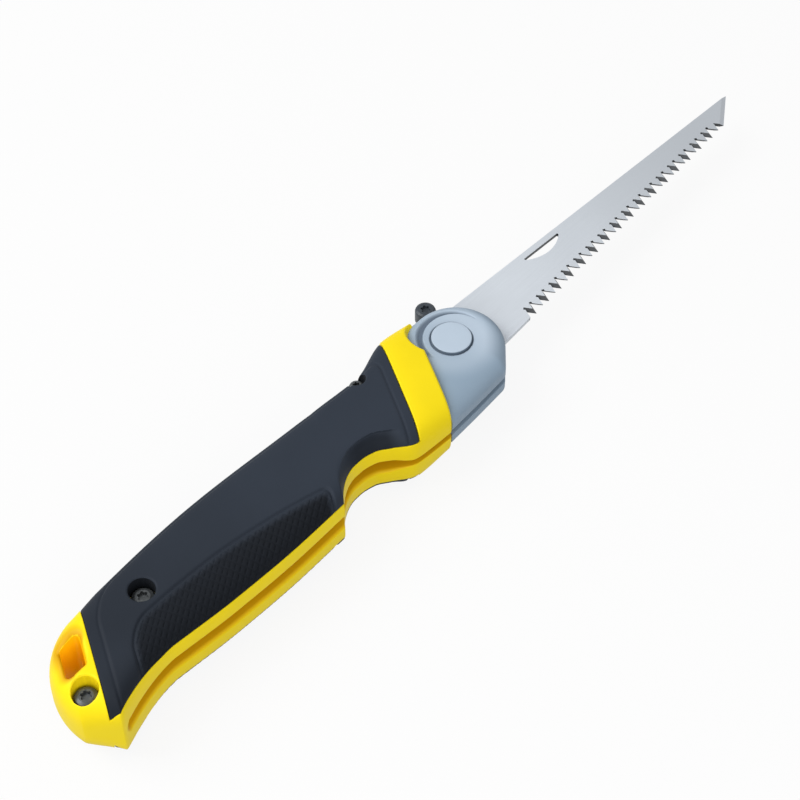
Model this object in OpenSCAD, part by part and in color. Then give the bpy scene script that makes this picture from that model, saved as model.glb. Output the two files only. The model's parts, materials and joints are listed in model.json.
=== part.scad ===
// Folding jab saw with a hinged blade, a lock lever and a two-shell handle with soft grips.
// Sizes are in millimetres. The pieces are drawn around the pivot axis, with the blade's middle
// plane at zero height, +X to the blade's point and +Y to its spine, and are then set down as one.

/* [Blade] */
// Distance from the pivot axis to the blade's point
blade_reach = 142.8; // [132:0.1:155]
// Thickness of the blade
blade_t = 1.2; // [0.8:0.1:1.5]
// Height of the spine over the pivot axis at the blade's shoulder
spine_heel = 11.6; // [9.5:0.1:12]
// Height of the blade's point over the pivot axis
spine_point = 4.6; // [3.5:0.1:5.5]
// Depth of the tooth tips under the pivot axis at the first tooth
edge_heel = 8; // [7.4:0.1:8.4]
// Depth of the tooth tips under the pivot axis at the end of the row
edge_point = 2.9; // [1.5:0.1:3.2]
// Distance from the pivot axis to the first tooth
first_tooth = 29.5; // [24:0.1:40]
// Length of the slanted end cut, measured along the blade
end_cut = 11.4; // [9:0.1:16]
// Distance between tooth tips
tooth_pitch = 3.175; // [2.6:0.025:4.2]
// Depth of a tooth from its tip to its gullet
tooth_depth = 3; // [2:0.1:3.5]
// Width of the ground bevel on a tooth's flank
tooth_bevel = 0.7; // [0.3:0.05:0.9]
// Width of the ground bevel on the slanted end
end_bevel = 1.3; // [1:0.1:3]
// Distance from the pivot axis to the thumbnail slot
nail_start = 43.4; // [40:0.1:48]
// Length of the thumbnail slot
nail_len = 15; // [11:0.1:18]
// Height of the thumbnail slot
nail_h = 3.2; // [2.5:0.1:4.5]
// Steel left between the thumbnail slot and the spine
nail_edge = 2; // [1.5:0.1:3]

/* [Pivot] */
// Radius of the round tang inside the head
tang_r = 8; // [7.6:0.1:8.2]
// Half the width of the neck between the tang and the blade
neck_half = 4.5; // [3.8:0.1:4.8]
// Distance from the pivot axis to the blade's shoulder
shoulder_x = 13.5; // [12.8:0.1:15]
// Radius of the pivot barrel
pivot_r = 3; // [2.6:0.1:3.4]
// Radius of the shank of the pivot screw
pivot_screw_r = 1.75; // [1.4:0.05:2]
// Outer radius of the two thrust washers
washer_r = 6.5; // [5.5:0.1:7]
// Radius of the flange and the screw head that clamp the cheeks
clamp_r = 4.6; // [4:0.1:5]
// Thickness of that flange and of the screw head
clamp_t = 1.6; // [1.2:0.1:2]
// Radius of the round cap over the pivot
cap_r = 5.9; // [5.4:0.05:6.4]
// Height of the cap's face over the cheek
cap_rise = 0.7; // [0.5:0.1:1]
// Angle through which the blade folds, in degrees
fold_angle = 177; // [176:0.5:178]

/* [Lock] */
// Swing of the lock lever from released to locked, in degrees
lock_swing = 13.5; // [13:0.5:14.5]
// Direction of the lock notch from the pivot axis, in degrees
lock_angle = 132; // [128:1:135]
// Width of the lever's locking tooth
lock_tooth_w = 2.4; // [1.8:0.1:2.8]
// Depth of the lock notch in the tang
notch_depth = 1.1; // [0.8:0.05:1.1]
// Thickness of the lock lever
lever_t = 1.8; // [1.4:0.1:1.9]
// Radius of the lever's pin
lever_pin_r = 1; // [0.8:0.05:1.1]
// Radius of the lever's eye round that pin
lever_eye_r = 2; // [1.8:0.05:2.05]
// Radius of the lock button
button_r = 3.1; // [2.8:0.05:3.3]
// Direction of the lock button from the pivot axis, in degrees
button_angle = 65.5; // [63:0.5:68]
// Distance from the pivot axis to the axis of the lock button
button_reach = 17.5; // [17.2:0.1:18.5]
// Half the thickness of the lock button
button_half = 2.6; // [2.2:0.1:3]
// Radius of the stop pin that the open blade leans on
stop_pin_r = 1.5; // [1.2:0.1:1.7]
// Radius of the spring wire
spring_wire_r = 0.2; // [0.15:0.01:0.22]
// Mean radius of the spring's coils
spring_r = 1.42; // [1.4:0.01:1.45]
// Number of turns in the spring
spring_turns = 2.5; // [1.5:0.5:2.5]

/* [Head] */
// Radius of the head's nose
head_r = 14.2; // [13.6:0.1:15]
// Height of the head's upper edge over the pivot axis
head_top = 13.2; // [13:0.1:13.6]
// Half the thickness of the head over its two cheek faces
head_half = 7.6; // [7.4:0.1:8.2]
// Rounding of the cheeks' outer edges
head_round = 4; // [2.5:0.1:4.6]
// Depth of the head's lower edge under the pivot axis
head_drop = 17.6; // [17:0.1:18.6]
// Radius of the cheek's rear lobe, which overlaps the collar
lobe_r = 6.4; // [6:0.1:6.8]
// Radius of the round plateau that the pivot cap stands on
plateau_r = 9.3; // [8.8:0.1:9.6]
// Depth of the crescent hollow beside the plateau
dish_depth = 0.7; // [0.3:0.1:1]
// Greatest width of that hollow
dish_w = 2.6; // [1.6:0.1:3]
// Thickness of the tongue that ties a cheek to its shell
tongue_t = 3.4; // [2.6:0.1:3.8]
// Radius of the pegs that hold the tongue
peg_r = 2.4; // [1.8:0.1:2.8]

/* [Handle] */
// Slant of the handle's edges, as run over rise
lean = 0.6; // [0.5:0.01:0.7]
// Half the thickness of the handle over its grips
grip_half = 12; // [11.2:0.1:13]
// Distance of the flat flanks from the middle plane
flank_half = 11.7; // [11:0.1:13]
// Half the thickness of the collar at its front edge
collar_half = 9.6; // [8.9:0.1:10.4]
// Half the thickness of the tail
tail_half = 11.9; // [11:0.1:12.4]
// Thickness of the soft grips
grip_t = 2; // [1.4:0.1:2.4]
// Slanted distance from the pivot axis to the collar's front edge
collar_front = 10.5; // [9.5:0.1:12]
// Slanted distance from the pivot axis to the grips' front edge
grip_front = 23.7; // [22:0.1:26]
// Slanted distance from the pivot axis to the top of the finger scallop
scallop_mid = 46.2; // [44:0.1:48]
// Slanted distance from the pivot axis to the rear corner of the finger scallop
scallop_end = 54.2; // [52:0.1:58]
// Height of the spine at the collar
crown_y = 14.7; // [14.2:0.1:15.5]
// Height of the spine at the waist behind the collar
waist_y = 10.5; // [10.4:0.1:11.5]
// Height of the spine over the palm
palm_y = 14.4; // [13.8:0.1:15.5]
// Height of the spine at the tail
tail_y = 12.5; // [12.2:0.1:13.4]
// Depth of the belly at the collar
collar_belly = 19; // [18:0.1:19.4]
// Depth of the belly at the top of the finger scallop
scallop_belly = 10.1; // [9:0.1:11]
// Depth of the belly behind the finger scallop
finger_belly = 17; // [16.4:0.1:18]
// Depth of the belly in the palm hollow
palm_belly = 14.2; // [13.8:0.1:15.5]
// Depth of the hook at the end of the belly
hook_belly = 19.5; // [18.5:0.1:20.5]
// Length of the handle behind the folded blade's point
tail_len = 13.65; // [13:0.05:16]
// Radius of the round butt
butt_r = 19.7; // [18:0.1:21]
// Play between the blade and each wall of the slot in the head
slot_play = 0.5; // [0.45:0.05:0.8]
// Half the width of the slot behind the collar
mouth_half = 1.95; // [1.6:0.05:2]
// Free height over the folded teeth
tooth_room = 0.6; // [0.4:0.1:0.7]

/* [Screws] */
// Radius of the middle and tail screws' shanks
screw_r = 1.5; // [1.2:0.05:1.6]
// Radius of the middle and tail screws' heads
screw_head_r = 3.3; // [3:0.05:3.5]
// Radius of the front screw's shank
front_screw_r = 1.15; // [1:0.05:1.2]
// Radius of the front screw's head
front_head_r = 2.3; // [2.2:0.05:2.6]
// Height of the handle screws' heads
screw_head_h = 2.2; // [1.6:0.1:2.6]
// Length of the middle and tail screws under the head
screw_len = 12.5; // [10:0.5:13]
// Length of the front screw under its head
front_screw_len = 9; // [8:0.1:9.2]
// Play round a screw's head in its recess
recess_play = 0.35; // [0.2:0.05:0.4]
// Thickness of the sleeves with which the near grip lines the screws' recesses
sleeve_t = 0.5; // [0.3:0.05:0.7]

/* [Fits] */
// Running play of a shaft in its bore, on the radius
run_play = 0.05; // [0.02:0.01:0.1]
// Play between pieces that seat in each other
seat_play = 0.05; // [0.02:0.01:0.1]

/* [Hidden] */
$fn = 64;

// Colours
yellow = "#f2cf16";
charcoal = "#23242c";
cast_grey = "#9fb0c6";
steel = "#c9ccd3";
black = "#17171c";
bronze = "#b58a4a";

// Half the width of the blade's slot, and the gap that the washers fill
slot_half = blade_t / 2 + slot_play;
washer_t = slot_play - 2 * run_play;

// Blade lines
point = [blade_reach, spine_point];
edge_end = blade_reach - end_cut;
edge_angle = atan((edge_heel - edge_point) / (edge_end - first_tooth));
spine_angle = atan((spine_point - spine_heel) / (blade_reach - shoulder_x));
edge_run = (edge_end - first_tooth) / cos(edge_angle);
tooth_count = floor(edge_run / tooth_pitch);
heel_point = [shoulder_x, -edge_heel - (first_tooth - shoulder_x) * tan(edge_angle)];
row_end = [first_tooth, -edge_heel] + tooth_count * tooth_pitch * [cos(edge_angle), sin(edge_angle)];
bevel_land = 0.2;
bevel_over = 0.6;

// Lock places
lever_at = [-1.5, tang_r + lever_eye_r + 0.4];
stop_at = [shoulder_x - stop_pin_r - 1.7, neck_half + stop_pin_r + run_play];
button_at = button_reach * [cos(button_angle), sin(button_angle)];
tab_w = 3;
tab_rise = 1.2;
spring_z = slot_half + 0.5;
spring_pitch = 2 * spring_wire_r + 0.45;
spring_room = spring_turns * spring_pitch + 2 * spring_wire_r + 0.6;
spring_leg = 1.4;

// Head places
nose_at = [1, head_top - head_r];
lobe_at = [-4.3, 5];
chin_r = 3.5;
chin_x = 2;
plateau_at = [1, -0.7];
dish_angle = 131;
tongue_end = grip_front + 6;
tongue_low = -8;
tongue_high = 6.6;
pegs = [[collar_front + 5.5, 2.6], [tongue_end - 4, -4]];
clamp_z = head_half - cap_rise - clamp_t - 0.3;

// Handle places, measured back from the folded blade's point
butt_x = -blade_reach - tail_len;
butt_at = [butt_x + butt_r, tail_y - butt_r];
hook = blade_reach - 4.8;
grip_rear = hook + 3.4;
palm_mid = hook - 20;
palm_start = scallop_end + 17.8;
scallop_low = 0.3 - finger_belly;
waist = grip_front + 12.3;
crown = grip_front - 0.5;
heel_turn = 12;
mouth_front = tongue_end + 2;
slot_end = hook - 1;
butt_end = lean * butt_at.y - butt_at.x + butt_r * sqrt(1 + lean * lean);
crown_end = lean * tail_y - butt_at.x;
heel_end = butt_at - butt_r * [cos(heel_turn), sin(heel_turn)];
step = 0.1;

// Screw places: axis, and the height of the seat under the head
front_at = [-waist + 4.9, 8.6];
middle_at = [-blade_reach + 22, 2.5];
tail_at = [butt_x + 5.5, -7.9];
front_seat = 6;
middle_seat = 6.4;
tail_seat = 5.8;
front_boss_r = front_screw_r + 0.6;

// Finished box, for setting the saw down on its far flank
button_top = button_at.y + button_r;
middle_x = (blade_reach + butt_x) / 2;
middle_y = (button_top - hook_belly) / 2;

// Smooth curve through a few points, level at its turning points
function secant(p, i) = (p[i + 1].y - p[i].y) / (p[i + 1].x - p[i].x);
function slope(p, i) =
    i == 0 ? secant(p, 0)
    : i == len(p) - 1 ? secant(p, i - 1)
    : let (a = secant(p, i - 1), b = secant(p, i)) a * b <= 0 ? 0 : 2 * a * b / (a + b);
function cubic(p, i, x) =
    let (
        w = p[i + 1].x - p[i].x,
        t = (x - p[i].x) / w
    )
    p[i].y + w * slope(p, i) * t * pow(1 - t, 2) + w * slope(p, i + 1) * t * t * (t - 1)
        + (p[i + 1].y - p[i].y) * t * t * (3 - 2 * t);
function curve(p, x, i = 0) =
    i >= len(p) - 2 || x <= p[i + 1].x ? cubic(p, i, x) : curve(p, x, i + 1);

// A hollow that starts level at a and dives to a corner at b, as a parabola or as a round arc
function dive(a, b, x) = a.y + (b.y - a.y) * pow((x - a.x) / (b.x - a.x), 2);
function round_dive(a, b, x) =
    let (full = 0.97, t = full * (x - a.x) / (b.x - a.x))
    a.y + (b.y - a.y) * (1 - sqrt(1 - t * t)) / (1 - sqrt(1 - full * full));

// Where the slanted line at station d meets the round butt, above or below
function butt_y(d, side) =
    let (
        q = d + butt_at.x,
        a = 1 + lean * lean,
        b = lean * q + butt_at.y,
        c = q * q + butt_at.y * butt_at.y - butt_r * butt_r
    )
    (b + side * sqrt(max(0, b * b - a * c))) / a;

// Outline of the handle at slanted station d
function spine_y(d) =
    d > crown_end ? butt_y(d, 1)
    : curve([
        [collar_front, crown_y - 0.7], [crown, crown_y], [waist, waist_y], [waist + 25, waist_y + 1.7],
        [palm_mid - 14, palm_y], [crown_end, tail_y]
    ], d);
function heel_d() = lean * heel_end.y - heel_end.x;
function belly_y(d) =
    d > heel_d() ? butt_y(d, -1)
    : d > hook ? -hook_belly + (heel_end.y + hook_belly) * (d - hook) / (heel_d() - hook)
    : d > palm_mid ? dive([palm_mid, -palm_belly], [hook, -hook_belly], d)
    : d > scallop_end
        ? curve([
            [scallop_end, scallop_low], [palm_start, -finger_belly],
            [palm_start + 23, 0.8 - finger_belly], [palm_mid, -palm_belly]
        ], d)
    : d > scallop_mid ? round_dive([scallop_mid, -scallop_belly], [scallop_end, scallop_low], d)
    : curve([
        [collar_front, -collar_belly], [grip_front + 0.3, 1 - collar_belly],
        [scallop_mid - 12.7, -scallop_belly - 3.5], [scallop_mid - 7.2, -scallop_belly - 0.9],
        [scallop_mid - 2, -scallop_belly], [scallop_mid, -scallop_belly]
    ], d);
function half_at(d) = curve([
    [collar_front, collar_half], [grip_front - 0.7, grip_half - 0.4], [grip_front + 8.3, grip_half],
    [hook - 3, grip_half], [crown_end, tail_half], [butt_end, 0.63 * tail_half]
], d);
function square_at(d) = curve([[collar_front, 4.6], [grip_front, 4.6], [hook - 3, 5], [butt_end, 3]], d);

// Point of the skin at station d, turned from the spine by an angle and sunk by a depth
function power(v, e) = sign(v) * pow(abs(v), e);
function skin(d, turn, sunk) =
    let (
        top = spine_y(d),
        low = belly_y(d),
        e = 2 / square_at(d),
        y = (top + low) / 2 + ((top - low) / 2 - sunk) * power(cos(turn), e),
        z = min((half_at(d) - sunk) * power(sin(turn), e), flank_half - sunk)
    )
    [lean * y - d, y, z];

// Rings of points round half of the handle
lip_turn = 161;
skin_turns = [for (i = [0:12]) lip_turn * i / 12];
lip_turns = [lip_turn + 0.6, 166, 171, 176, 180];
function lip(d) = [for (t = lip_turns) skin(d, t, 0)];
function full_ring(d) = concat([for (t = skin_turns) skin(d, t, 0)], lip(d));
function inset_ring(d) = concat([for (t = skin_turns) skin(d, t, grip_t + seat_play)], lip(d));
function grip_ring(d) = concat(
    [for (t = skin_turns) skin(d, t, 0)],
    [for (i = [len(skin_turns) - 1:-1:0]) skin(d, skin_turns[i], grip_t)]
);
function steps(a, b, n) = [for (i = [0:n - 1]) a + (b - a) * i / n];
grip_stations = concat(
    steps(grip_front, scallop_mid, 9),
    [for (i = [0:5]) scallop_mid + (scallop_end - scallop_mid) * sin(15 * i)],
    steps(scallop_end, palm_start, 4), steps(palm_start, palm_mid, 8),
    steps(palm_mid, hook, 6), [hook, grip_rear]
);
collar_stations = concat(steps(collar_front + seat_play, grip_front - step, 6), [grip_front - step]);
tail_stations = [
    for (i = [0:10]) grip_rear + step + (butt_end - 0.05 - grip_rear - step) * sin(9 * i)
];

// Closed surface through rings of points, with caps given as triangles of one ring; from a given
// point on, the faces are split along their other diagonal
module loft(rings, cap, flip_from = undef) {
    m = len(rings[0]);
    n = len(rings);
    sides = [
        for (i = [0:n - 2], k = [0:m - 1])
            let (a = i * m + k, b = i * m + (k + 1) % m, flip = !is_undef(flip_from) && k >= flip_from)
                each flip ? [[a, b, a + m], [b, b + m, a + m]] : [[a, b, b + m], [a, b + m, a + m]]
    ];
    front = [for (f = cap) [f[2], f[1], f[0]]];
    back = [for (f = cap) [for (k = f) k + (n - 1) * m]];
    polyhedron([for (r = rings) each r], concat(sides, front, back));
}
function fan_cap(m) = [for (k = [1:m - 2]) [0, k, k + 1]];
function band_cap(m) = [
    for (k = [0:m / 2 - 2]) each [[k, k + 1, m - 2 - k], [k, m - 2 - k, m - 1 - k]]
];

// Everything is set down by this one move
module placed() translate([-middle_x, -middle_y, flank_half]) children();
module far_side() mirror([0, 0, 1]) children();
module at(p, z = 0) translate([p.x, p.y, z]) children();
function slanted(d, y) = [lean * y - d, y];
function folded(p) = [
    p.x * cos(fold_angle) + p.y * sin(fold_angle),
    -p.x * sin(fold_angle) + p.y * cos(fold_angle)
];

// Handle shells

module shell_form() {
    rings = concat(
        [for (d = collar_stations) full_ring(d)],
        [for (d = grip_stations) inset_ring(d)],
        [for (d = tail_stations) full_ring(d)]
    );
    loft(rings, fan_cap(len(rings[0])));
}

// Room that the folded blade needs in one shell, open along the belly and wider behind the collar
module room_outline() {
    heel = folded(heel_point);
    end = folded(row_end);
    below = -2 * hook_belly;
    polygon([
        [0, heel.y + tooth_room], [heel.x, heel.y + tooth_room], [end.x - tooth_room, end.y + tooth_room],
        slanted(slot_end, folded(point).y + 1), slanted(slot_end, below), [0, below]
    ]);
}
module blade_room() {
    translate([0, 0, -1]) {
        linear_extrude(slot_half + 1) room_outline();
        linear_extrude(mouth_half + 1)
            intersection() {
                room_outline();
                polygon([
                    slanted(mouth_front, crown_y), slanted(slot_end, crown_y),
                    slanted(slot_end, -2 * hook_belly), slanted(mouth_front, -2 * hook_belly)
                ]);
            }
    }
}

module tongue_outline(grow) {
    polygon([
        slanted(collar_front - 4, tongue_low - grow), slanted(tongue_end + grow, tongue_low - grow),
        slanted(tongue_end + grow, tongue_high + grow), slanted(collar_front - 4, tongue_high + grow)
    ]);
}

// Through hole in the tail for a hook or a cord, with the handle's slant
module hang_hole() {
    corner_r = 1.3;
    translate([0, 0, -1])
        linear_extrude(2 * tail_half)
            hull() {
                for (back = [7.4, 11.15], y = [-1.9, tail_y - 7.8])
                    at(slanted(-butt_x - back, y)) circle(corner_r);
            }
}

module shell_half() {
    difference() {
        union() {
            difference() {
                shell_form();
                blade_room();
                translate([0, 0, -1])
                    linear_extrude(slot_half + tongue_t + seat_play + 1) tongue_outline(seat_play);
                at(lobe_at, -1) cylinder(h = 3 * head_half, r = lobe_r + seat_play);
                hang_hole();
            }
            for (p = pegs)
                at(slanted(p.x, p.y), slot_half)
                    cylinder(h = tongue_t + 0.5, r = peg_r);
            at(front_at) cylinder(h = front_seat, r = front_boss_r);
        }
        children();
    }
}

// Recess for a screw's head with its clearance hole, cut from the near side
module screw_recess(p, seat, r, head_r) {
    at(p, seat) cylinder(h = 2 * grip_half, r = head_r + recess_play);
    at(p, -1) cylinder(h = seat + 2, r = r + run_play);
}
module screw_pilot(p, depth, r) at(p, -1) cylinder(h = depth + 1.5, r = r + run_play);

module near_shell() {
    color(yellow)
        placed()
            shell_half() {
                screw_recess(front_at, front_seat, front_screw_r, front_head_r + sleeve_t + seat_play);
                screw_recess(middle_at, middle_seat, screw_r, screw_head_r + sleeve_t + seat_play);
                screw_recess(tail_at, tail_seat, screw_r, screw_head_r);
            }
}

module far_shell() {
    color(yellow)
        placed()
            far_side()
                shell_half() {
                    screw_pilot(front_at, front_screw_len - front_seat, front_screw_r);
                    screw_pilot(middle_at, screw_len - middle_seat, screw_r);
                    screw_pilot(tail_at, screw_len - tail_seat, screw_r);
                }
}

// Soft grips

module grip_form() {
    rings = [for (d = grip_stations) grip_ring(min(max(d, grip_front + seat_play), grip_rear - seat_play))];
    loft(rings, band_cap(len(rings[0])), len(skin_turns));
}
module grip_boss_room() {
    at(front_at, -1) cylinder(h = front_seat + 1 + seat_play, r = front_boss_r + seat_play);
}

// The front sleeve is open to the spine, where the grip alone surrounds the screw's head
module front_sleeve() {
    r = front_head_r + recess_play + sleeve_t;
    intersection() {
        cylinder(h = grip_half - 3.2 - front_seat, r = r);
        translate([-r, -r, 0]) cube([2 * r, r, grip_half]);
    }
}

module near_grip() {
    color(charcoal)
        placed()
            difference() {
                union() {
                    grip_form();
                    at(middle_at, middle_seat + seat_play)
                        cylinder(h = grip_half - 1 - middle_seat, r = screw_head_r + recess_play + sleeve_t);
                    at(front_at, front_seat + seat_play) front_sleeve();
                }
                grip_boss_room();
                at(front_at, front_seat) cylinder(h = 2 * grip_half, r = front_head_r + recess_play);
                at(middle_at, -1) cylinder(h = 2 * grip_half, r = screw_head_r + recess_play);
            }
}

module far_grip() {
    color(charcoal)
        placed()
            far_side()
                difference() {
                    grip_form();
                    grip_boss_room();
                }
}

// Cast cheeks of the head

module cheek_layer(z, inset) {
    film = 0.01;
    translate([0, 0, z - film])
        linear_extrude(film) {
            at(nose_at) circle(head_r - inset, $fn = 48);
            at([chin_x, max(chin_r, inset + 0.2) - head_drop]) circle(max(chin_r - inset, 0.2), $fn = 24);
            polygon([
                [chin_x, inset - head_drop], [-32, inset - head_drop - 1.4],
                [-12, crown_y - 1.4 - inset], [nose_at.x, nose_at.y + head_r - inset]
            ]);
        }
}

module cheek_form() {
    hull() {
        cheek_layer(slot_half + 0.01, 0);
        for (a = [0:22.5:90])
            cheek_layer(head_half - head_round * (1 - sin(a)), head_round * (1 - cos(a)));
    }
}

// Crescent hollow beside the plateau, widest towards the spine
module dish() {
    outer_at = plateau_at + dish_w / 2 * [cos(dish_angle), sin(dish_angle)];
    translate([0, 0, head_half - dish_depth])
        difference() {
            at(outer_at) cylinder(h = 2 * dish_depth, r = plateau_r + dish_w / 2 - 0.1, $fn = 96);
            at(plateau_at, -1) cylinder(h = 2 * dish_depth + 2, r = plateau_r, $fn = 96);
        }
}

module cheek() {
    difference() {
        union() {
            intersection() {
                cheek_form();
                linear_extrude(2 * head_half) {
                    polygon([slanted(collar_front, -40), [60, -40], [60, 40], slanted(collar_front, 40)]);
                    at(lobe_at) circle(lobe_r);
                }
            }
            translate([0, 0, slot_half]) linear_extrude(tongue_t) tongue_outline(0);
        }
        dish();
        cylinder(h = 3 * head_half, r = pivot_r + run_play);
        translate([0, 0, clamp_z]) cylinder(h = head_half, r = clamp_r + seat_play);
        for (p = pegs)
            at(slanted(p.x, p.y)) cylinder(h = 3 * head_half, r = peg_r + seat_play);
        at(stop_at) cylinder(h = slot_half + 3.2, r = stop_pin_r + seat_play);
        at(lever_at) cylinder(h = slot_half + 3.6, r = lever_pin_r + seat_play);
        children();
    }
}

// Pocket for the lever's spring, with a slot for its outer leg
module spring_pocket() {
    at(lever_at) cylinder(h = slot_half + spring_room, r = spring_r + spring_wire_r + 0.25);
    at(lever_at + [-spring_leg - 2, spring_r - 0.45])
        cube([spring_leg + 2, 0.9, slot_half + spring_room]);
}

module near_bolster() {
    color(cast_grey)
        placed()
            cheek() spring_pocket();
}

module far_bolster() {
    color(cast_grey)
        placed()
            far_side() cheek();
}

// Pivot

module cap() {
    plug_r = clamp_r - 0.1;
    plug_z = clamp_z + clamp_t + run_play;
    edge = cap_rise / 2;
    rotate_extrude($fn = 96)
        polygon([
            [0, plug_z], [plug_r, plug_z], [plug_r, head_half + 0.02], [cap_r, head_half + 0.02],
            [cap_r, head_half + cap_rise - edge], [cap_r - edge / 3, head_half + cap_rise - edge / 3],
            [cap_r - edge, head_half + cap_rise], [0, head_half + cap_rise]
        ]);
}
module near_cap() color(cast_grey) placed() cap();
module far_cap() color(cast_grey) placed() far_side() cap();

module washer() {
    translate([0, 0, blade_t / 2 + run_play])
        difference() {
            cylinder(h = washer_t, r = washer_r);
            translate([0, 0, -1]) cylinder(h = washer_t + 2, r = pivot_r + run_play);
        }
}
module near_washer() color(bronze) placed() washer();
module far_washer() color(bronze) placed() far_side() washer();

module pivot_barrel() {
    color(steel)
        placed()
            difference() {
                union() {
                    translate([0, 0, -clamp_z]) cylinder(h = 2 * clamp_z - 0.1, r = pivot_r);
                    translate([0, 0, -clamp_z - clamp_t]) cylinder(h = clamp_t, r = clamp_r);
                }
                translate([0, 0, -clamp_z - 0.5]) cylinder(h = 3 * clamp_z, r = pivot_screw_r + run_play);
            }
}

module pivot_screw() {
    socket_r = 1.7;
    color(steel)
        placed()
            difference() {
                union() {
                    translate([0, 0, -clamp_z + 1]) cylinder(h = 2 * clamp_z - 1, r = pivot_screw_r);
                    translate([0, 0, clamp_z]) cylinder(h = clamp_t, r = clamp_r);
                }
                translate([0, 0, clamp_z + clamp_t - 1]) cylinder(h = 2, r = socket_r, $fn = 6);
            }
}

module open_stop_pin() {
    reach = slot_half + 3;
    color(steel) placed() at(stop_at, -reach) cylinder(h = 2 * reach, r = stop_pin_r);
}

// Lock

// The lever's tooth in its locked place, grown all round by a play
module lock_tooth(grow) {
    root = tang_r - notch_depth;
    rotate(lock_angle)
        translate([root - grow, -lock_tooth_w / 2 - grow])
            square([notch_depth + 2 + grow, lock_tooth_w + 2 * grow]);
}

// Turns a shape about the lever's pin
module swung(a) at(lever_at) rotate(a) translate([-lever_at.x, -lever_at.y]) children();

// Path of the tooth in and out of the tang
module notch() {
    for (a = [0:lock_swing / 4:lock_swing])
        swung(-a) lock_tooth(0.2);
}

module lock_lever() {
    arm_r = 1.8;
    arm_reach = button_reach - button_r - 2.2;
    tab_len = button_reach + tab_rise - arm_reach;
    color(steel)
        placed()
            difference() {
                translate([0, 0, -lever_t / 2])
                    linear_extrude(lever_t) {
                        hull() {
                            at(lever_at) circle(lever_eye_r);
                            rotate(button_angle) translate([arm_reach, 0]) circle(arm_r);
                        }
                        rotate(button_angle)
                            translate([arm_reach, -tab_w / 2]) square([tab_len, tab_w]);
                        swung(-lock_swing) {
                            lock_tooth(0);
                            hull() {
                                at(lever_at) circle(lever_eye_r);
                                rotate(lock_angle)
                                    translate([tang_r + 0.7, -lock_tooth_w / 2])
                                        square([1.2, lock_tooth_w]);
                            }
                        }
                    }
                at(lever_at, -lever_t) cylinder(h = 2 * lever_t, r = lever_pin_r + run_play);
                at(lever_at + [0, -spring_r], -lever_t) cylinder(h = 2 * lever_t, r = spring_wire_r + 0.12);
            }
}

module lever_pin() {
    reach = slot_half + 3.5;
    color(steel) placed() at(lever_at, -reach) cylinder(h = 2 * reach, r = lever_pin_r);
}

// Torsion spring: a leg down into the lever, coils round the pin and a leg along the cheek
spring_first = -90;
spring_last = spring_first + 360 * spring_turns;
function coil_point(a) = [
    lever_at.x + spring_r * cos(a),
    lever_at.y + spring_r * sin(a),
    spring_z + spring_pitch * (a - spring_first) / 360
];
spring_path = concat(
    [for (drop = [1.7, 0.9, 0.3]) coil_point(spring_first) - [0, 0, drop]],
    [for (a = [spring_first + 10:20:spring_last - 10]) coil_point(a)],
    [for (run = [0, spring_leg / 2, spring_leg]) coil_point(spring_last) - [run, 0, 0]]
);
spring_out = concat(
    [for (i = [0:2]) [cos(spring_first), sin(spring_first), 0]],
    [for (a = [spring_first + 10:20:spring_last - 10]) [cos(a), sin(a), 0]],
    [for (i = [0:2]) [cos(spring_last), sin(spring_last), 0]]
);
function unit(v) = v / norm(v);
function wire_ring(i) =
    let (
        n = len(spring_path) - 1,
        along = unit(spring_path[min(i + 1, n)] - spring_path[max(i - 1, 0)]),
        side = unit(cross(along, spring_out[i])),
        up = cross(along, side)
    )
    [for (k = [0:5]) spring_path[i] + spring_wire_r * (cos(60 * k) * up + sin(60 * k) * side)];

module lever_spring() {
    color(steel)
        placed()
            loft([for (i = [0:len(spring_path) - 1]) wire_ring(i)], fan_cap(6));
}

// Six-lobed drive socket, cut downwards from zero
module drive_socket(r, depth) {
    translate([0, 0, -depth]) cylinder(h = depth + 1, r = 0.72 * r);
    for (a = [0:60:300])
        rotate(a) translate([0.7 * r, 0, -depth]) cylinder(h = depth + 1, r = 0.24 * r);
}

module lock_button() {
    edge = 0.8;
    socket_r = 1.6;
    pocket = [2 * button_r + tab_rise, tab_w, lever_t] + seat_play * [1, 2, 2];
    rim = [
        [button_r - edge, button_half], [button_r - 0.2, button_half - 0.3], [button_r, button_half - edge]
    ];
    color(black)
        placed()
            at(button_at)
                difference() {
                    rotate_extrude()
                        polygon(concat(
                            [[0, button_half]], rim,
                            [for (i = [2:-1:0]) [rim[i].x, -rim[i].y]], [[0, -button_half]]
                        ));
                    rotate(button_angle)
                        translate([-2 * button_r, -pocket.y / 2, -pocket.z / 2]) cube(pocket);
                    translate([0, 0, button_half]) drive_socket(socket_r, 0.9);
                }
}

// Handle screws

module handle_screw(p, seat, length, r, head_r) {
    socket_r = head_r / 2;
    color(black)
        placed()
            at(p, seat)
                difference() {
                    rotate_extrude()
                        polygon([
                            [0, -length], [r - 0.5, -length], [r, 0.8 - length], [r, 0],
                            [head_r, 0], [head_r, 0.45 * screw_head_h],
                            [0.86 * head_r, 0.8 * screw_head_h], [0.6 * head_r, screw_head_h],
                            [0, screw_head_h]
                        ]);
                    translate([0, 0, screw_head_h]) drive_socket(socket_r, 1.1);
                }
}
module front_screw() handle_screw(front_at, front_seat, front_screw_len, front_screw_r, front_head_r);
module middle_screw() handle_screw(middle_at, middle_seat, screw_len, screw_r, screw_head_r);
module tail_screw() handle_screw(tail_at, tail_seat, screw_len, screw_r, screw_head_r);

// Blade

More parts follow.
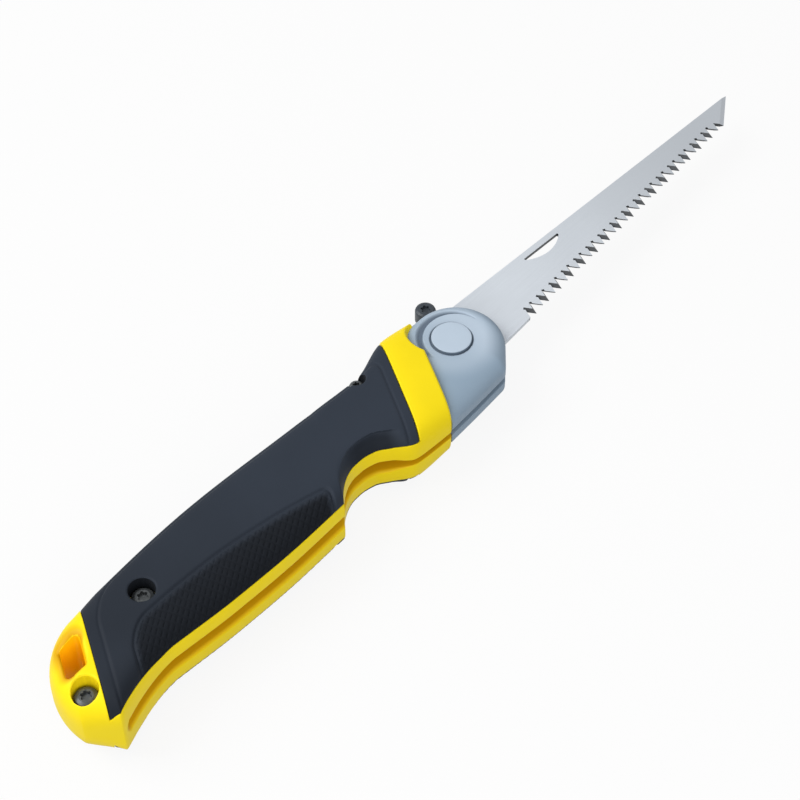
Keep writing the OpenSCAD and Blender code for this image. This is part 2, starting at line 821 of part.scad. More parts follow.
// Outline with its row of teeth; the row lies along a line that rises to the point
module blade_outline() {
    row = [
        for (i = [0:tooth_count - 1])
            each [[i * tooth_pitch, 0], [(i + 0.5) * tooth_pitch, tooth_depth]]
    ];
    along = [cos(edge_angle), sin(edge_angle)];
    across = [-along.y, along.x];
    origin = [first_tooth, -edge_heel];
    teeth = [for (p = row) origin + p.x * along + p.y * across];
    polygon(concat(
        [[shoulder_x, spine_heel], heel_point, origin - tooth_pitch * along,
            origin - 0.5 * tooth_pitch * along + tooth_depth * across],
        teeth,
        [row_end, point]
    ));
}

// Slot for a thumbnail: straight beside the spine and bowed below
module nail_slot() {
    bow = nail_h - 0.6;
    bow_r = (nail_len * nail_len / 4 + bow * bow) / (2 * bow);
    translate([nail_start, spine_heel + (nail_start - shoulder_x) * tan(spine_angle) - nail_edge])
        rotate(spine_angle)
            intersection() {
                translate([nail_len / 2, bow_r - nail_h]) circle(bow_r, $fn = 128);
                translate([0, -nail_h]) square([nail_len, nail_h]);
            }
}

// Wedge that grinds an edge along +X back to a width, from a land on the other face
module grind(length, width, land, over) {
    low = land - blade_t / 2;
    top = blade_t / 2 + 0.3;
    rise = (blade_t - land) / width;
    out = 0.15;
    translate([-1, 0, 0])
        rotate([90, 0, 90])
            linear_extrude(length + 1 + over)
                polygon([[-out, low - out * rise], [(top - low) / rise, top], [-out, top]]);
}

// Alternate teeth are ground from alternate faces
module tooth_grinds() {
    flank = norm([tooth_pitch / 2, tooth_depth]);
    flank_angle = atan2(tooth_depth, tooth_pitch / 2);
    translate([first_tooth, -edge_heel, 0])
        rotate(edge_angle)
            for (i = [0:tooth_count - 1], left = [0, 1])
                translate([i * tooth_pitch, 0, 0])
                    mirror([left, 0, 0])
                        mirror([0, 0, i % 2])
                            rotate(flank_angle)
                                grind(flank, tooth_bevel, (1 + left / 2) * bevel_land, bevel_over);
}

module end_grinds() {
    cut = point - row_end;
    at(row_end)
        rotate(atan2(cut.y, cut.x))
            for (face = [0, 1])
                mirror([0, 0, face]) grind(norm(cut), end_bevel, 0.55 * blade_t, 1);
}

module blade() {
    color(steel)
        placed()
            difference() {
                translate([0, 0, -blade_t / 2])
                    linear_extrude(blade_t)
                        difference() {
                            union() {
                                circle(tang_r);
                                translate([0, -neck_half]) square([shoulder_x + 0.01, 2 * neck_half]);
                                blade_outline();
                            }
                            nail_slot();
                            notch();
                            rotate(fold_angle) notch();
                        }
                translate([0, 0, -blade_t]) cylinder(h = 2 * blade_t, r = pivot_r + run_play);
                tooth_grinds();
                end_grinds();
            }
}

near_shell();
far_shell();
near_grip();
far_grip();
near_bolster();
far_bolster();
near_cap();
far_cap();
near_washer();
far_washer();
pivot_barrel();
pivot_screw();
open_stop_pin();
lever_pin();
lever_spring();
front_screw();
middle_screw();
tail_screw();
blade();
lock_lever();
lock_button();
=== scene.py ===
import json
import math

import bpy
import numpy as np
from mathutils import Matrix, Vector


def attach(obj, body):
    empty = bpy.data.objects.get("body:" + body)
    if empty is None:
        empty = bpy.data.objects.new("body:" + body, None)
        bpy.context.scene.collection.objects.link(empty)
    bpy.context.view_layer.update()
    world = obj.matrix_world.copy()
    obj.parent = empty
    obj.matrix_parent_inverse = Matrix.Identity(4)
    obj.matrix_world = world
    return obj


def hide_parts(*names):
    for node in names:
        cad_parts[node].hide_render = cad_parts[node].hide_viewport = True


bl_info = {
    "name": "Folding saw",
    "version": (1, 0, 0),
    "blender": (4, 5, 0),
    "location": "3D View > Sidebar > Saw",
    "description": "Builds the moulded, rubber and cast pieces of a folding saw round its CAD frame",
    "category": "Add Mesh",
}

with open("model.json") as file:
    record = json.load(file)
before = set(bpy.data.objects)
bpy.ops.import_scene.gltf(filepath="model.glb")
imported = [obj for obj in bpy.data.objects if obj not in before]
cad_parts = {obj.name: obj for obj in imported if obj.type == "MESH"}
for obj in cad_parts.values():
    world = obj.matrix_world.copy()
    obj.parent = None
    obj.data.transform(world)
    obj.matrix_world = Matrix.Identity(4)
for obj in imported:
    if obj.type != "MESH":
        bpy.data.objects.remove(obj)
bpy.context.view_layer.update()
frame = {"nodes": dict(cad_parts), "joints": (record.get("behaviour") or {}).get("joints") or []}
MM = 0.001
PIVOT = np.array(next(j["pos_m"] for j in frame["joints"] if j["name"] == "blade_fold"))
SIDES = {"near": 1, "far": -1}  # of the middle plane, along Z

# Places round the pivot axis and clearances, in millimetres and degrees
NOSE_AT = np.array([1.0, -1.0])
CHIN_X = 2.0
LOBE_AT = np.array([-2.4, 5.3])
PLATEAU_AT = np.array([1.0, -0.7])
DISH_TURN = 116
DISH_END = (160, 190)
HEEL_TURN = 12
HOLE_MID = (10.1, 1.4)  # from the butt's end, and over the axis
HOLE_R = 1.3
RECESS_PLAY = 0.35
SLEEVE = 0.5
SEAM = 0.05
FAR_OFF = 9  # a distance at which no edge is rolled any more
CREASE = 35  # turn of an edge past which it stays sharp

# Tones, as shares of a finish's own colour, that paint shade: in the slot, outwards from the cheek's
# plateau, at the nose and in the cheek's hollows.
# On the hang hole's rim a tone paints shade and the light through the plastic, and on its wall a tone
# and a glow paint that light.
SLOT_SHADE_TONE = (0.82, 0.62, 0.6)
RIM_SHADE_TONE = (0.68, 0.44, 0.2)
HOLE_LIGHT_TONE = (1.03, 0.8, 0.6)
HOLE_GLOW = (0.065, 0.04, 0.0)
OUTER_SHADE_TONE = (0.61, 0.68, 0.73)
NOSE_SHADE_TONE = (0.56, 0.61, 0.66)
SUNK_SHADE_TONE = (0.25, 0.28, 0.32)


def length(label, text, millimetres):
    """A length property, written here in millimetres."""
    return bpy.props.FloatProperty(
        name=label, description=text, default=millimetres * MM, unit="LENGTH", precision=5
    )


def tint(label, text, colour):
    """A colour property, in linear light."""
    return bpy.props.FloatVectorProperty(
        name=label, description=text, default=colour, subtype="COLOR", size=3, min=0, max=1
    )


class SawHandleSizes(bpy.types.PropertyGroup):
    """Driving sizes of the handle's form, measured from the pivot axis."""

    lean: bpy.props.FloatProperty(
        name="Lean", description="Slant of the handle's edges, run over rise", default=0.6
    )
    blade_reach: length("Blade reach", "Pivot axis to the blade's point", 142.8)
    tail_len: length("Tail", "Length of the handle behind the folded blade's point", 13.62)
    grip_half: length("Grip half", "Half the thickness over the grips", 12)
    flank_half: length("Flank", "Distance of the flat flanks from the middle plane", 11.7)
    collar_half: length("Collar half", "Half the thickness of the collar at its front edge", 9.6)
    tail_half: length("Tail half", "Half the thickness of the tail", 11.9)
    grip_t: length("Grip thickness", "Thickness of the soft grips", 2)
    collar_front: length("Collar front", "Station of the collar's front edge", 10.5)
    grip_front: length("Grip front", "Station of the grips' front edge", 23.7)
    scallop_mid: length("Scallop", "Station of the top of the finger scallop", 46.2)
    scallop_end: length("Scallop end", "Station of the rear corner of the scallop", 54.2)
    crown_lead: length("Crown lead", "Crown of the spine before the grips' front edge", 0.5)
    waist_run: length("Waist run", "Waist of the spine behind the grips' front edge", 12.3)
    finger_run: length("Finger run", "Start of the level belly behind the scallop's corner", 17.8)
    palm_lead: length("Palm lead", "Top of the palm hollow before the hook", 20)
    hook_lead: length("Hook lead", "Hook before the folded blade's point", 4.8)
    grip_run: length("Grip run", "Rear edge of the grips behind the hook", 3.4)
    crown_y: length("Crown", "Height of the spine at the collar", 14.7)
    waist_y: length("Waist", "Height of the spine behind the collar", 10.5)
    palm_y: length("Palm", "Height of the spine over the palm", 14.4)
    tail_y: length("Tail spine", "Height of the spine at the tail", 12.5)
    collar_belly: length("Collar belly", "Depth of the belly at the collar", 19)
    scallop_belly: length("Scallop belly", "Depth of the belly in the scallop", 10.1)
    finger_belly: length("Finger belly", "Depth of the belly behind the scallop", 17)
    palm_belly: length("Palm belly", "Depth of the belly in the palm hollow", 14.2)
    hook_belly: length("Hook belly", "Depth of the hook at the end of the belly", 19.5)
    butt_r: length("Butt radius", "Radius of the round butt", 19.7)
    slot_half: length("Slot half", "Half the width of the blade's slot in the head", 1.1)
    mouth_half: length("Mouth half", "Half the width of the slot behind the collar", 1.95)


class SawHeadSizes(bpy.types.PropertyGroup):
    """Sizes of the cast cheeks and the pivot cap."""

    nose_r: length("Nose radius", "Radius of the head's nose", 14.2)
    face_half: length("Face", "Distance of the cheek's face from the middle plane", 7.6)
    edge_round: length("Edge", "Depth of the cheek's rounded outer edge", 4)
    drop: length("Drop", "Depth of the head's lower edge under the pivot", 17.6)
    lobe_r: length("Lobe radius", "Radius of the rear lobe that overlaps the collar", 7.45)
    cap_r: length("Cap radius", "Radius of the pivot cap", 5.9)
    cap_rise: length("Cap rise", "Height of the cap's face over the cheek", 0.7)
    chin_r: length("Chin radius", "Radius of the head's lower front corner", 3.5)
    plateau_r: length("Plateau radius", "Radius of the plateau that the cap stands on", 9.3)
    dish_w: length("Dish width", "Greatest width of the crescent hollow beside the plateau", 2.6)
    dish_depth: length("Dish depth", "Depth of that hollow", 0.7)


class SawGripRelief(bpy.types.PropertyGroup):
    """Sizes of the relief moulded into the soft grips."""

    panel_line: length("Panel line", "Depth of the line that frames the grip's panel", 0.3)
    pad_line: length("Pad line", "Depth of the line round the cross-cut pad", 0.55)
    cut_pitch: length("Cut pitch", "Distance between the pad's slanted cuts", 1.9)
    cut_depth: length("Cut depth", "Depth of the pad's slanted cuts", 0.22)
    cove_depth: length("Cove", "Depth of the hollow above the finger scallop", 0.9)


class SawFinishes(bpy.types.PropertyGroup):
    """Colours of the saw's finishes."""

    yellow: tint("Yellow", "Moulded shells", (0.93, 0.72, 0.008))
    charcoal: tint("Charcoal", "Soft grips", (0.019, 0.025, 0.036))
    cast: tint("Cast grey", "Cheeks and caps of the head", (0.42, 0.5, 0.59))
    blade: tint("Blade", "Ground faces of the blade", (0.76, 0.81, 0.87))
    steel: tint("Steel", "Pins, barrel, lever and spring", (0.42, 0.43, 0.45))
    bronze: tint("Bronze", "Thrust washers", (0.45, 0.26, 0.09))
    black: tint("Black", "Handle screws", (0.085, 0.092, 0.096))
    button: tint("Button", "Lock button", (0.034, 0.042, 0.052))


# Shader maths


class Value:
    """A shader socket in Python arithmetic: every operation adds one Math node."""

    def __init__(self, nodes, socket):
        self.nodes, self.socket = nodes, socket

    def math(self, operation, *values, clamp=False):
        """One Math node on these values."""
        settings = {"operation": operation, "use_clamp": clamp}
        return self.nodes.node("ShaderNodeMath", settings, dict(enumerate(values)))

    def __add__(self, other):
        return self.math("ADD", self, other)

    __radd__ = __add__

    def __sub__(self, other):
        return self.math("SUBTRACT", self, other)

    def __rsub__(self, other):
        return self.math("SUBTRACT", other, self)

    def __mul__(self, other):
        return self.math("MULTIPLY", self, other)

    __rmul__ = __mul__

    def __abs__(self):
        return self.math("ABSOLUTE", self)

    def clipped(self):
        """The value held between 0 and 1."""
        return self.math("ADD", self, 0.0, clamp=True)


class Nodes:
    """A node tree that grows by expressions on values."""

    def __init__(self, tree):
        self.tree = tree

    def node(self, kind, settings=None, inputs=None, output=0):
        """One node: its settings are set first, then its sockets get values or links."""
        made = self.tree.nodes.new(kind)
        for key, value in (settings or {}).items():
            setattr(made, key, value)
        for key, value in (inputs or {}).items():
            self.feed(made.inputs[key], value)
        return Value(self, made.outputs[output])

    def feed(self, socket, value):
        """Links a value to a socket, or sets a number or colour on it."""
        if isinstance(value, Value):
            self.tree.links.new(value.socket, socket)
        elif socket.type == "RGBA" and len(value) == 3:
            socket.default_value = (*value, 1.0)
        else:
            socket.default_value = value


class Finish(Nodes):
    """A node material whose Principled shader is wired by expressions."""

    def __init__(self, name, **constants):
        self.material = bpy.data.materials.new(name)
        self.material.use_nodes = True
        super().__init__(self.material.node_tree)
        self.shader = self.tree.nodes["Principled BSDF"]
        self.set(**constants)

    def set(self, **inputs):
        """Feeds the Principled shader's sockets and returns the material."""
        for socket, value in inputs.items():
            self.feed(self.shader.inputs[socket.replace("_", " ")], value)
        return self.material

    def place(self):
        """Place on the piece, in its own coordinates."""
        return self.node("ShaderNodeTexCoord", output="Object")

    def mark(self, name):
        """The value that the piece carries under a name, 0 where it has none."""
        return self.node("ShaderNodeAttribute", {"attribute_name": name}, output="Fac")

    def noise(self, vector, scale, detail=2.0, rough=0.5):
        """Noise from 0 to 1, its scale in waves for each metre."""
        inputs = {"Vector": vector, "Scale": scale, "Detail": detail, "Roughness": rough}
        return self.node("ShaderNodeTexNoise", {}, inputs)

    def along(self, vector, axis):
        """One coordinate of a vector."""
        return self.node("ShaderNodeSeparateXYZ", {}, {0: vector}, output=axis)

    def slide(self, value, start, end):
        """Smooth step of a value from 0 at start to 1 at end."""
        settings = {"interpolation_type": "SMOOTHSTEP"}
        inputs = {"Value": value, "From Min": start, "From Max": end}
        return self.node("ShaderNodeMapRange", settings, inputs)

    def stretched(self, vector, scale):
        """A vector with each coordinate times its scale."""
        return self.node("ShaderNodeMapping", {}, {"Vector": vector, "Scale": scale})

    def blend(self, factor, first, second):
        """Colour mix from first to second; Mix names its sockets alike, so they go by number."""
        inputs = {0: factor, 6: first, 7: second}
        return self.node("ShaderNodeMix", {"data_type": "RGBA"}, inputs, output=2)

    def bump(self, height, strength, distance):
        """Normal over a height from 0 to 1 that stands for a distance."""
        inputs = {"Strength": strength, "Distance": distance, "Height": height}
        return self.node("ShaderNodeBump", {}, inputs)


def scaled(colour, factor):
    """A colour made lighter or darker, with no channel over 1."""
    return tuple(min(1.0, channel * factor) for channel in colour)


def toned(colour, tone):
    """A colour with each channel times its share."""
    return tuple(channel * share for channel, share in zip(colour, tone))


def moulded_yellow(colour):
    """Satin moulded plastic with a fine spark grain and faint flow clouding.

    Painted light through the plastic makes the wall of the hang hole amber, with a faint painted glow,
    and painted shade and light make its rim a darker amber; painted shade makes the slot a deeper
    yellow.
    """
    made = Finish("moulded_yellow", Specular_IOR_Level=0.12, Emission_Strength=1.0)
    at = made.place()
    cloud = made.noise(at, 70, 3)
    grain = made.noise(at, 2600, 2, 0.6)
    hole = made.mark("hole_wall")
    base = made.blend(cloud, scaled(colour, 0.93), scaled(colour, 1.04))
    # Painted shade and light on the hang hole's rim, and painted shade in the slot
    base = made.blend(made.mark("hole_rim"), base, toned(colour, RIM_SHADE_TONE))
    base = made.blend(made.mark("slot_shade"), base, toned(colour, SLOT_SHADE_TONE))
    return made.set(
        # Painted light through the plastic on the hang hole's wall: an amber tone and a faint glow
        Base_Color=made.blend(hole, base, toned(colour, HOLE_LIGHT_TONE)),
        Emission_Color=made.blend(hole, (0.0, 0.0, 0.0), HOLE_GLOW),
        Roughness=0.36 + 0.1 * cloud + 0.06 * grain,
        Normal=made.bump(grain, 0.12, 0.1 * MM),
    )


def soft_rubber(colour):
    """Matt rubber: a pebbled grain, paler towards the front by painted light, darker and rougher on
    the pad, with painted shade in the cove.

    Painted shade makes it darkest low at the rear, on its hidden inner face and inside the bores over
    the screws.
    """
    made = Finish("soft_rubber", Specular_IOR_Level=0.14, Sheen_Weight=0.02, Sheen_Roughness=0.5)
    at = made.place()
    # Painted light: paler towards the front
    painted_front_light = made.slide(made.along(at, "X"), -130 * MM, -30 * MM)
    # Painted shade: darker low down, weighted to the rear
    low = made.slide(made.along(at, "Y"), -6 * MM, -18 * MM)
    patch = made.noise(at, 38, 3)
    pebble = made.noise(at, 1500, 3, 0.65)
    paler = (0.5 * patch + 0.6 * painted_front_light).clipped()
    base = made.blend(paler, scaled(colour, 0.7), scaled(colour, 1.45))
    # Painted shade low at the rear and in the bores, with the darker pad and the painted shade of the
    # cove
    dull_and_shade = (0.9 * made.mark("dull") + 0.6 * low * (1 - painted_front_light) + made.mark("bore_wall")).clipped()
    return made.set(
        Base_Color=made.blend(dull_and_shade, base, scaled(colour, 0.33)),
        Roughness=(0.62 - 0.14 * patch + 0.1 * pebble + 0.2 * dull_and_shade).clipped(),
        Normal=made.bump(pebble, 0.22, 0.12 * MM),
    )


def cast_satin(colour):
    """Satin cast metal under a thin coat: sand grain, with painted shade in the hollow and round the
    cap, lightest round the pivot.

    Painted shade darkens it outwards from the plateau, in an arc behind the cap and towards the nose.
    """
    made = Finish("cast_satin", Metallic=0.05, Specular_IOR_Level=0.22, Coat_Roughness=0.35)
    at = made.place()
    cloud = made.noise(at, 90, 3)
    sand = made.noise(at, 3200, 2, 0.6)
    inputs = {"Vector": at, "Location": (-PIVOT[0], -PIVOT[1], 0), "Scale": (1, 1, 0)}
    away = made.node("ShaderNodeMapping", {}, inputs)
    radius = made.node("ShaderNodeVectorMath", {"operation": "LENGTH"}, {0: away}, output="Value")
    forward = made.along(away, "X")
    # Painted shade outwards from the plateau, and in an arc behind the cap
    outer_shade = made.slide(radius, 9 * MM, 16 * MM)
    behind = made.slide(radius, 5.9 * MM, 6.6 * MM) * made.slide(forward, 9 * MM, -5 * MM)
    outer_shade = outer_shade + 0.5 * behind * (1 - outer_shade)
    # Painted shade towards the nose
    nose = made.slide(forward, 11 * MM, 15.5 * MM)
    base = made.blend(cloud, scaled(colour, 1.02), scaled(colour, 1.12))
    base = made.blend(outer_shade, base, toned(colour, OUTER_SHADE_TONE))
    base = made.blend(nose, base, toned(colour, NOSE_SHADE_TONE))
    return made.set(
        # Painted shade where the piece carries the sunk mark: the crescent hollow, the groove round
        # the cap and the cap's wall
        Base_Color=made.blend(0.95 * made.mark("sunk"), base, toned(colour, SUNK_SHADE_TONE)),
        Roughness=0.42 + 0.12 * cloud + 0.08 * sand,
        Coat_Weight=0.03 + 0.04 * cloud,
        Normal=made.bump(sand, 0.14, 0.1 * MM),
    )


def ground_blade(colour):
    """Ground blade steel: fine lines along the blade, with painted shade darker towards the point and
    on the facets that face sideways, darkest on the teeth.
    """
    made = Finish("ground_blade", Metallic=0.55)
    at = made.place()
    lines = made.noise(made.stretched(at, (60, 3000, 3000)), 1, 3, 0.6)
    cloud = made.noise(at, 45, 3)
    facing = made.node("ShaderNodeNewGeometry", output="True Normal")
    forward = made.along(at, "X")
    toothed = made.slide(forward, PIVOT[0] + 25.5 * MM, PIVOT[0] + 26.5 * MM)
    # Painted shade on the facets that face sideways, strongest on the teeth
    facet_shade = made.slide(abs(made.along(facing, "Z")), 0.9, 0.72) * (0.35 + 0.65 * toothed)
    tone = (0.45 * lines + 0.55 * cloud).clipped()
    # Painted shade darker towards the point
    point_shade = made.slide(forward, PIVOT[0] + 30 * MM, PIVOT[0] + 125 * MM)
    face = made.blend(tone, scaled(colour, 0.9), scaled(colour, 1.1))
    face = made.blend(point_shade, face, scaled(colour, 0.8))
    return made.set(
        Base_Color=made.blend(facet_shade, face, scaled(colour, 0.07)),
        Roughness=0.34 + 0.16 * lines - 0.06 * facet_shade,
        Normal=made.bump(lines, 0.1, 0.05 * MM),
    )


def turned_metal(name, colour, rough):
    """Turned or rolled metal: faint tool lines and clouded oxide."""
    made = Finish(name, Metallic=0.9)
    at = made.place()
    tool = made.noise(made.stretched(at, (400, 400, 5000)), 1, 2)
    cloud = made.noise(at, 220, 3)
    base = made.blend(cloud, scaled(colour, 0.8), scaled(colour, 1.15))
    return made.set(
        Base_Color=base,
        Roughness=rough + 0.15 * tool,
        Normal=made.bump(tool, 0.08, 0.05 * MM),
    )


def blackened(name, colour, metallic):
    """Blackened finish: dull patches and a slight sheen on a fine grain."""
    made = Finish(name, Metallic=metallic, Specular_IOR_Level=0.45)
    at = made.place()
    cloud = made.noise(at, 500, 3)
    grain = made.noise(at, 5200, 2)
    base = made.blend(cloud, scaled(colour, 0.7), scaled(colour, 1.7))
    return made.set(
        Base_Color=base,
        Roughness=0.34 + 0.2 * cloud,
        Normal=made.bump(grain, 0.15, 0.08 * MM),
    )


def finish_named(name):
    """The material of that name, made on first use from the finish colours."""
    colours = bpy.context.scene.saw_finishes
    makers = {
        "moulded_yellow": lambda: moulded_yellow(colours.yellow),
        "soft_rubber": lambda: soft_rubber(colours.charcoal),
        "cast_satin": lambda: cast_satin(colours.cast),
        "ground_blade": lambda: ground_blade(colours.blade),
        "turned_steel": lambda: turned_metal("turned_steel", colours.steel, 0.28),
        "rolled_bronze": lambda: turned_metal("rolled_bronze", colours.bronze, 0.32),
        "blackened_steel": lambda: blackened("blackened_steel", colours.black, 0.5),
        "satin_button": lambda: blackened("satin_button", colours.button, 0.0),
    }
    return bpy.data.materials.get(name) or makers[name]()


# Curves


def hermite(points, x):
    """Cubic through the points, whose slope at each is the harmonic mean of its two secants."""
    p = np.asarray(points, float)
    width = np.diff(p[:, 0])
    secant = np.diff(p[:, 1]) / width
    before, after = secant[:-1], secant[1:]
    total = np.where(before * after > 0, before + after, 1.0)
    inner = np.where(before * after > 0, 2 * before * after / total, 0.0)
    slope = np.concatenate([secant[:1], inner, secant[-1:]])
    i = np.clip(np.searchsorted(p[:, 0], x) - 1, 0, len(width) - 1)
    w, t = width[i], (x - p[i, 0]) / width[i]
    return (
        p[i, 1]
        + w * slope[i] * t * (1 - t) ** 2
        + w * slope[i + 1] * t * t * (t - 1)
        + (p[i + 1, 1] - p[i, 1]) * t * t * (3 - 2 * t)
    )


def dive(a, b, x):
    """Parabola that leaves a level and runs to b."""
    return a[1] + (b[1] - a[1]) * ((x - a[0]) / (b[0] - a[0])) ** 2


def round_dive(a, b, x, full=0.97):
    """Elliptic arc that leaves a level and runs to b, steepest at its end."""
    t = np.clip(full * (x - a[0]) / (b[0] - a[0]), 0, full)
    return a[1] + (b[1] - a[1]) * (1 - np.sqrt(1 - t * t)) / (1 - math.sqrt(1 - full * full))


def soft_min(a, b, sharp=8.0):
    """The lesser of two lengths, with the crossing rounded off."""
    return -np.logaddexp(-sharp * a, -sharp * b) / sharp


def roll(distance, radius):
    """Depth of a quarter-round edge at a distance inwards from it."""
    run = radius - np.clip(distance, 0, radius)
    return radius - np.sqrt(np.maximum(radius * radius - run * run, 0))


def ramp(x, low, high):
    """Smooth step from 0 at low to 1 at high."""
    t = np.clip((x - low) / (high - low), 0, 1)
    return t * t * (3 - 2 * t)


def round_min(a, b, radius):
    """Distance inside two borders whose corner is rounded to a radius."""
    corner = radius - np.hypot(np.maximum(radius - a, 0), np.maximum(radius - b, 0))
    return np.where((a < radius) & (b < radius), corner, np.minimum(a, b))


def line_cut(distance, depth, half_width):
    """Depth of a rounded line cut at a distance from its middle."""
    return depth * np.exp(-((distance / half_width) ** 2))


def crossing(outside, low, high):
    """Values between low and high at which a test turns true, by thirty halvings."""
    for _ in range(30):
        middle = (low + high) / 2
        out = outside(middle)
        high, low = np.where(out, middle, high), np.where(out, low, middle)
    return high


class HandleForm:
    """Outline and skin of the handle, in millimetres round the pivot axis.

    Station d is the leaning plane x = lean * y - d. Each section is a superellipse in that
    plane, from the spine (angle 0) over the flank to the belly (angle pi).
    """

    def __init__(self, sizes):
        for name in SawHandleSizes.__annotations__:
            setattr(self, name, getattr(sizes, name) / (1 if name == "lean" else MM))
        self.butt_x = -self.blade_reach - self.tail_len
        self.butt_at = (self.butt_x + self.butt_r, self.tail_y - self.butt_r)
        self.hook = self.blade_reach - self.hook_lead
        self.grip_rear = self.hook + self.grip_run
        self.palm_mid = self.hook - self.palm_lead
        self.palm_start = self.scallop_end + self.finger_run
        self.waist = self.grip_front + self.waist_run
        self.crown = self.grip_front - self.crown_lead
        self.crown_end = self.lean * self.tail_y - self.butt_at[0]
        slant = math.hypot(1, self.lean)
        self.butt_end = self.lean * self.butt_at[1] - self.butt_at[0] + self.butt_r * slant
        turn = math.radians(HEEL_TURN)
        heel_x = self.butt_at[0] - self.butt_r * math.cos(turn)
        self.heel_y = self.butt_at[1] - self.butt_r * math.sin(turn)
        self.heel = self.lean * self.heel_y - heel_x

    def butt(self, d, side):
        """Where station d meets the round butt, above or below."""
        q = d + self.butt_at[0]
        a = 1 + self.lean**2
        b = self.lean * q + self.butt_at[1]
        c = q * q + self.butt_at[1] ** 2 - self.butt_r**2
        return (b + side * np.sqrt(np.maximum(b * b - a * c, 0))) / a

    def spine(self, d):
        """Height of the spine at station d: a curve over crown, waist and palm, then the butt."""
        line = [
            (self.collar_front, self.crown_y - 0.7), (self.crown, self.crown_y),
            (self.waist, self.waist_y), (self.waist + 25, self.waist_y + 1.7),
            (self.palm_mid - 14, self.palm_y), (self.crown_end, self.tail_y),
        ]
        return np.where(d > self.crown_end, self.butt(d, 1), hermite(line, d))

    def belly(self, d):
        """Height of the belly at station d: collar, scallop, palm hollow, hook, heel and butt."""
        corner, top = (self.scallop_end, 0.3 - self.finger_belly), self.scallop_mid
        front = [
            (self.collar_front, -self.collar_belly), (self.grip_front + 0.3, 1 - self.collar_belly),
            (top - 12.7, -self.scallop_belly - 3.5), (top - 7.2, -self.scallop_belly - 0.9),
            (top - 2, -self.scallop_belly), (top, -self.scallop_belly),
        ]
        palm = [
            corner, (self.palm_start, -self.finger_belly),
            (self.palm_start + 23, 0.8 - self.finger_belly), (self.palm_mid, -self.palm_belly),
        ]
        rise = (self.heel_y + self.hook_belly) / (self.heel - self.hook)
        return np.select(
            [d > start for start in (self.heel, self.hook, self.palm_mid, self.scallop_end, top)],
            [
                self.butt(d, -1),
                -self.hook_belly + rise * (d - self.hook),
                dive((self.palm_mid, -self.palm_belly), (self.hook, -self.hook_belly), d),
                hermite(palm, d),
                round_dive((top, -self.scallop_belly), corner, d),
            ],
            hermite(front, d),
        )

    def half(self, d):
        """Half thickness at station d: a curve to the crown's end, then a round fall to the butt."""
        line = [
            (self.collar_front, self.collar_half), (self.grip_front - 0.7, self.grip_half - 0.4),
            (self.grip_front + 8.3, self.grip_half), (self.hook - 3, self.grip_half),
            (self.crown_end, self.tail_half),
        ]
        past = np.clip((d - self.crown_end) / (self.butt_end - self.crown_end), 0, 1)
        return hermite(line, np.minimum(d, self.crown_end)) * (1 - past**2) ** (1 / 3)

    def power(self, d):
        """Power of the section's superellipse at station d: squarest at the end of the grip."""
        line = [
            (self.collar_front, 4.6), (self.grip_front, 4.6), (self.hook - 3, 5),
            (self.grip_rear + 2.6, 3.4), (self.butt_end, 2.5),
        ]
        return hermite(line, d)

    def skin(self, d, angle, sunk=0.0):
        """Point at station d and section angle, sunk below the skin by a depth."""
        top, low, n = self.spine(d), self.belly(d), self.power(d)
        ray = (np.abs(np.cos(angle)) ** n + np.abs(np.sin(angle)) ** n) ** (-1 / n)
        y = (top + low) / 2 + ((top - low) / 2 - sunk) * np.cos(angle) * ray
        z = soft_min((self.half(d) - sunk) * np.sin(angle) * ray, self.flank_half - sunk)
        return np.stack([self.lean * y - d, y, z], -1)

    def lip_angle(self, d):
        """Section angle of the seam between grip and shell, low on the flank.

        Before the hook the seam climbs a little, so that it runs straight to the grip's rear corner.
        """
        start = self.hook - 16
        line = [(start, 161), (self.hook - 1, 151), (self.grip_rear, 165)]
        turn = np.radians(hermite(line, np.clip(d, start, self.grip_rear)))
        e = 2 / self.power(d)
        return np.pi - np.arctan2(np.sin(turn) ** e, np.abs(np.cos(turn)) ** e)

    def angle_at(self, d, z):
        """Section angle, near the belly, at which the skin stands z off the middle plane."""
        n = self.power(d)
        share = z / self.half(d)
        return np.pi - np.arctan2(share, (1 - share**n) ** (1 / n))


def hang_hole_distance(form, x, y):
    """Distance outside the slanted hang hole: a convex four-corner core grown by a radius."""
    low, high = -1.9, form.tail_y - 7.8
    rear, front = 7.4, 11.15
    y_core = np.array([low, low, high, high])
    back = np.array([rear, front, front, rear])
    core = np.stack([form.lean * y_core + form.butt_x + back, y_core], -1)
    edge = np.roll(core, -1, axis=0) - core
    p = np.stack([x, y], -1)[..., None, :] - core
    along = np.clip((p * edge).sum(-1) / (edge * edge).sum(-1), 0, 1)
    gap = np.linalg.norm(p - along[..., None] * edge, axis=-1).min(-1)
    inside = (edge[:, 0] * p[..., 1] - edge[:, 1] * p[..., 0] > 0).all(-1)
    return np.where(inside, -gap, gap) - HOLE_R


def hang_hole_rim(form, point, distance):
    """Share of the painted shade and light that tints the hang hole's rim amber on the flank: full at
    its edge, and widest towards the spine.
    """
    rise = point[..., 1] - HOLE_MID[1]
    turn = np.arctan2(rise, point[..., 0] - form.butt_x - HOLE_MID[0] - form.lean * rise)
    least, above, behind = 0.5, 4.3, 2.1
    width = least + above * np.maximum(np.sin(turn), 0) ** 1.5 + behind * np.maximum(-np.cos(turn), 0)
    return (1 - ramp(distance, 0, width)) * ramp(point[..., 2], 5, 9)


# Meshes


def grid_quads(rows, columns):
    """Faces of a grid of points, row by row, with the last column joined to the first."""
    i = np.arange(rows - 1)[:, None] * columns
    k = np.arange(columns)[None, :]
    a, b = i + k, i + (k + 1) % columns
    return np.stack([a, b, b + columns, a + columns], -1).reshape(-1, 4)


